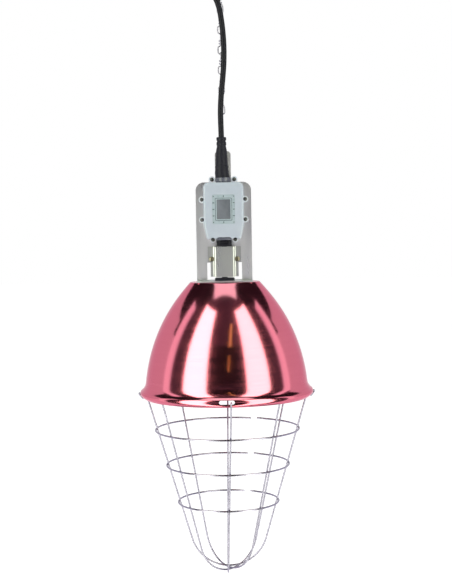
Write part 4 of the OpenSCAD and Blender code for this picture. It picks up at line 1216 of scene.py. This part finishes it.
# %% Spun aluminium
red_metal = finish(
    "red_metal", (197, 102, 121), (209, 112, 132), 0.12, grain=40, stretch=(0.4, 0.4, 24), shift=0.03,
    relief=0.1, lift=0.02, metallic=1,
)
skin = shader_of(red_metal)
set_sockets(skin, {"Anisotropic": 0.6, "Specular Tint": colour(236, 200, 212)})
set_sockets(skin, {"Coat Weight": 0.1, "Coat IOR": 1.5, "Coat Roughness": 0.08})
around = add_node(red_metal.node_tree, "Tangent", direction_type="RADIAL", axis="Z")
connect(red_metal.node_tree, (around, "Tangent", skin, "Tangent"))
print("red_metal is ready")

# %% [markdown]
# # Dressing the pieces
# A table says which finish goes with which slot of the part, and the pieces we made are added to it one
# by one. The solids that came with the frame keep their shape and get the finish of their slot.

# %% Finishes for slots
slot_finish = {
    "hook_steel": "hook_wire", "chain_steel": "zinc_wire", "bracket_steel": "sheet_steel",
    "cover_steel": "fold_steel", "screw_steel": "screw_zinc", "dark_screws": "dark_zinc",
    "rivet_metal": "rivet_alloy", "plated_steel": "plain_plate", "box_plastic": "tray_plastic",
    "lid_plastic": "pale_plastic", "rubber": "soft_rubber", "board_green": "board_lacquer",
    "black_plastic": "hard_black", "aluminium": "bare_alloy", "capacitor_yellow": "resin_yellow",
    "copper": "copper_wire", "terminal_green": "terminal_plastic", "wire_skin": "core_skin",
    "cord_black": "cord_skin", "red_aluminium": "red_metal", "porcelain": "porcelain_glaze",
    "brass": "brass_metal", "guard_wire": "guard_steel", "plug_black": "plug_plastic",
    "pin_nickel": "nickel",
}
slot_of = {row["node"]: row["material_slot"] for row in frame["record"]["subparts"]}
for node_name, piece in nodes.items():
    material = finishes[slot_finish[slot_of[node_name]]]
    for slot in piece.material_slots:
        slot.material = material
print("slots:", len(slot_finish), "nodes:", len(nodes))

# %% [markdown]
# # Dressing what we made
# The pieces that we made have no material yet. Most of them take the finish of the slot they belong to.
# A few small ones share a slot with other pieces and look different, like the pane and the tie, so they
# get a finish of their own.


# %% Finishes for made pieces
def dress(piece, slot, look=None):
    material = finishes[look or slot_finish[slot]]
    if piece.data.materials:
        piece.data.materials[0] = material
    else:
        piece.data.materials.append(material)


dressing = {
    "cord_black": [supply_cord], "plug_black": [plug_moulding], "hook_steel": [peg_hook, bracket_hook],
    "chain_steel": chain_wires, "guard_wire": guard_wires, "red_aluminium": [reflector],
    "cover_steel": [cable_cover], "screw_steel": cover_screw_pieces, "dark_screws": lid_screw_pieces,
    "lid_plastic": [lid], "rubber": [relief, gland, grommet], "rivet_metal": rivet_pieces,
    "brass": [screw_shell],
}
for slot_name, pieces in dressing.items():
    for piece in pieces:
        dress(piece, slot_name)
special = [(piece, "black_plastic", "tie_plastic") for piece in (tie_band, tie_lock, tie_tail)]
special += [(piece, "lid_plastic", "mark_ink") for piece in (frame_line, light_pipes)]
# the gland block and the relief collar are black rubber; their grey-blue is a painted reflection
special += [(piece, "rubber", "painted_sheen_rubber") for piece in (gland_block, relief_collar)]
special += [(window_pane, "lid_plastic", "smoked_pane"), (field_foil, "lid_plastic", "foil")]
for piece, slot_name, look in special:
    dress(piece, slot_name, look)
print("made pieces:", sum(len(pieces) for pieces in dressing.values()) + len(special))

# %% [markdown]
# # The studio floor
# The picture is taken in a white studio. A pale floor lies well below the lamp and catches its shadow.
# A curved backdrop could join floor and wall, but the world is white as well, so one large square is
# enough.

# %% Floor
FLOOR, FLOOR_HALF = -420, 9000
floor_mesh = bpy.data.meshes.new("studio_floor")
floor_corners = [at(FLOOR_HALF * x, FLOOR_HALF * y, FLOOR) for x, y in ((-1, -1), (1, -1), (1, 1), (-1, 1))]
floor_mesh.from_pydata(floor_corners, [], [(0, 1, 2, 3)])
studio_floor = add_object("studio_floor", floor_mesh)
floor_finish = finish("floor_finish", (244, 244, 244), (250, 250, 250), 0.7, grain=3)
floor_mesh.materials.append(floor_finish)
print("the floor lies", -FLOOR, "mm under the reflector's top")


# %% [markdown]
# # The white world
# World and floor are brighter where the camera, a mirror or glass looks at them than where they light
# something. That keeps the background white and the pale lid from bleaching, and the floor still shows
# the shadow. The Light Path node tells these rays apart.

# %% World
WORLD_LIGHT, WORLD_SEEN, FLOOR_SEEN = 0.6, 1, 0.46


def seen_level(tree, unseen, seen):
    rays = add_node(tree, "LightPath")
    either = add_node(tree, "Math", operation="MAXIMUM")
    any_view = add_node(tree, "Math", operation="MAXIMUM")
    level = add_node(tree, "MapRange", {"To Min": unseen, "To Max": seen})
    connect(
        tree, (rays, "Is Camera Ray", either, 0), (rays, "Is Glossy Ray", either, 1),
        (either, "Value", any_view, 0), (rays, "Is Transmission Ray", any_view, 1),
        (any_view, "Value", level, "Value"),
    )
    return level.outputs["Result"]


world = bpy.data.worlds.new("studio_world")
world.use_nodes = True
bpy.context.scene.world = world
background = world.node_tree.nodes["Background"]
set_sockets(background, {"Color": (1, 1, 1, 1)})
world_level = seen_level(world.node_tree, WORLD_LIGHT, WORLD_SEEN)
world.node_tree.links.new(world_level, background.inputs["Strength"])
paper = shader_of(floor_finish)
set_sockets(paper, {"Specular IOR Level": 0, "Emission Color": (1, 1, 1, 1)})
floor_level = seen_level(floor_finish.node_tree, 0, FLOOR_SEEN)
floor_finish.node_tree.links.new(floor_level, paper.inputs["Emission Strength"])
print("world:", WORLD_LIGHT, "on surfaces,", WORLD_SEEN, "where it is seen")

# %% [markdown]
# # The studio lamps
# Three large soft lamps light the object at a plain level, so that colours look as they are written. A
# bare bulb would draw hard shadows, and a studio hangs cloth in front of its lamps, so we use square
# area lamps. Mirrors don't show them, because the cards of the next step take that part.


# %% Lamps
def soft_lamp(name, azimuth, height, distance, size, power):
    data = bpy.data.lights.new(name, "AREA")
    data.shape = "SQUARE"
    data.size = size
    data.energy = power
    lamp = add_object(name, data)
    turn = radians(azimuth)
    lamp.location = at(distance * sin(turn), -distance * cos(turn), height)
    aim = at(0, 0, 0) - lamp.location
    lamp.rotation_euler = aim.to_track_quat("-Z", "Y").to_euler()
    lamp.visible_glossy = False
    return lamp


soft_lamp("key_lamp", -38, 1100, 2000, 1.2, 14)
soft_lamp("fill_lamp", 48, 300, 2200, 1.4, 11)
soft_lamp("top_lamp", 170, 2100, 900, 1.2, 9)
print("lamps: 3")


# %% [markdown]
# # What the reflector mirrors
# What the eye reads as shine on the reflector is the studio itself. Two tall softboxes stand left and
# right of the camera and give the white bands. Dark cards hang between them, beside them and above them,
# and a warm wall closes each side. Two narrow amber strips give the small glints, and a window in the
# ceiling lights the top of the bell. A card is given by its bearings at the left and right and by its
# angles over the horizon at the bottom and top, all in degrees. So it is curved and stays as far from the
# lamp all along. Only reflections can see the cards, so they change no colour elsewhere.


# %% Cards
def glowing(name, corners, faces, tint, strength):
    piece = new_piece(name, corners, faces)
    material = bpy.data.materials.new(name)
    material.use_nodes = True
    tree = material.node_tree
    tree.nodes.clear()
    glow = add_node(tree, "Emission", {"Color": (*tint, 1), "Strength": strength})
    end = add_node(tree, "OutputMaterial")
    connect(tree, (glow, "Emission", end, "Surface"))
    piece.data.materials.append(material)
    for ray in ("camera", "diffuse", "transmission", "shadow"):
        setattr(piece, f"visible_{ray}", False)
    return piece


def card(name, left, right, low, high, tint, strength, lean=0.0, distance=2400):
    corners, faces = [], []
    columns, rows = 12, 24
    for i in range(columns + 1):
        for j in range(rows + 1):
            turn = radians(left + (right - left) * i / columns + lean * j / rows)
            up = radians(low + (high - low) * j / rows)
            reach = min(distance, 350 / max(-sin(up), 0.1))
            x, y = reach * sin(turn) * cos(up), -reach * cos(turn) * cos(up)
            corners.append(at(x, y, reach * sin(up) - 60))
    for i in range(columns):
        for j in range(rows):
            a = i * (rows + 1) + j
            faces.append((a, a + 1, a + rows + 2, a + rows + 1))
    return glowing(name, corners, faces, tint, strength)


SOFTBOX, WARM, DIM, AMBER = (1, 1.06, 0.82), (1, 1.06, 1), (1, 0.85, 0.95), (1, 1.1, 0.25)
cards = [
    card("front_foot", -28, 28, -86, -9, DIM, 0.03),
    card("front_dark", -28, 28, 3, 34, DIM, 0.015),
    card("front_dusk", -28, 28, 34, 88, DIM, 0.08),
]
for side_name, side, level in (("left", -1, 5.8), ("right", 1, 5)):
    cards += [
        card(f"{side_name}_softbox", side * 28, side * 62.5, -86, 59.5, SOFTBOX, level),
        card(f"{side_name}_over_softbox", side * 28, side * 62.5, 59.5, 88, DIM, 0.1),
        card(f"{side_name}_dark", side * 62.5, side * 85, -86, 54, DIM, 0.08),
        card(f"{side_name}_over_dark", side * 62.5, side * 85, 54, 88, DIM, 0.02),
        card(f"{side_name}_warm_wall", side * 85, side * 97, -30, 48, WARM, 1.6, side * 4),
        card(f"{side_name}_over_wall", side * 85, side * 106, 48, 88, DIM, 0.03),
        card(f"{side_name}_wall_edge", side * 99, side * 106, 24, 48, DIM, 0.1),
        card(f"{side_name}_high_back", side * 106, side * 180, 31, 88, DIM, 0.03),
    ]
cards += [
    card("low_glint", 2.6, 3.5, 16, 27, AMBER, 2.5, 1.5, 2350),
    card("middle_glint", 5.8, 7.2, 33, 50, AMBER, 4, 6, 2350),
]
SKY = 1900
window_edges = ((-0.33, -0.3), (0.33, -0.3), (0.33, 0.3), (-0.33, 0.3))
sky_corners = [at(SKY * x, SKY * y, SKY) for x, y in window_edges]
cards.append(glowing("ceiling_window", sky_corners, [(0, 1, 2, 3)], (0.85, 1.2, 1), 2.1))
print("cards:", len(cards))

# %% [markdown]
# # The view
# Blender's usual view transform softens bright colours as film does. A product picture on white should
# show each colour as it was chosen, so we switch to the plain one.

# %% View settings
bpy.context.scene.view_settings.view_transform = "Standard"
print("view transform:", bpy.context.scene.view_settings.view_transform)
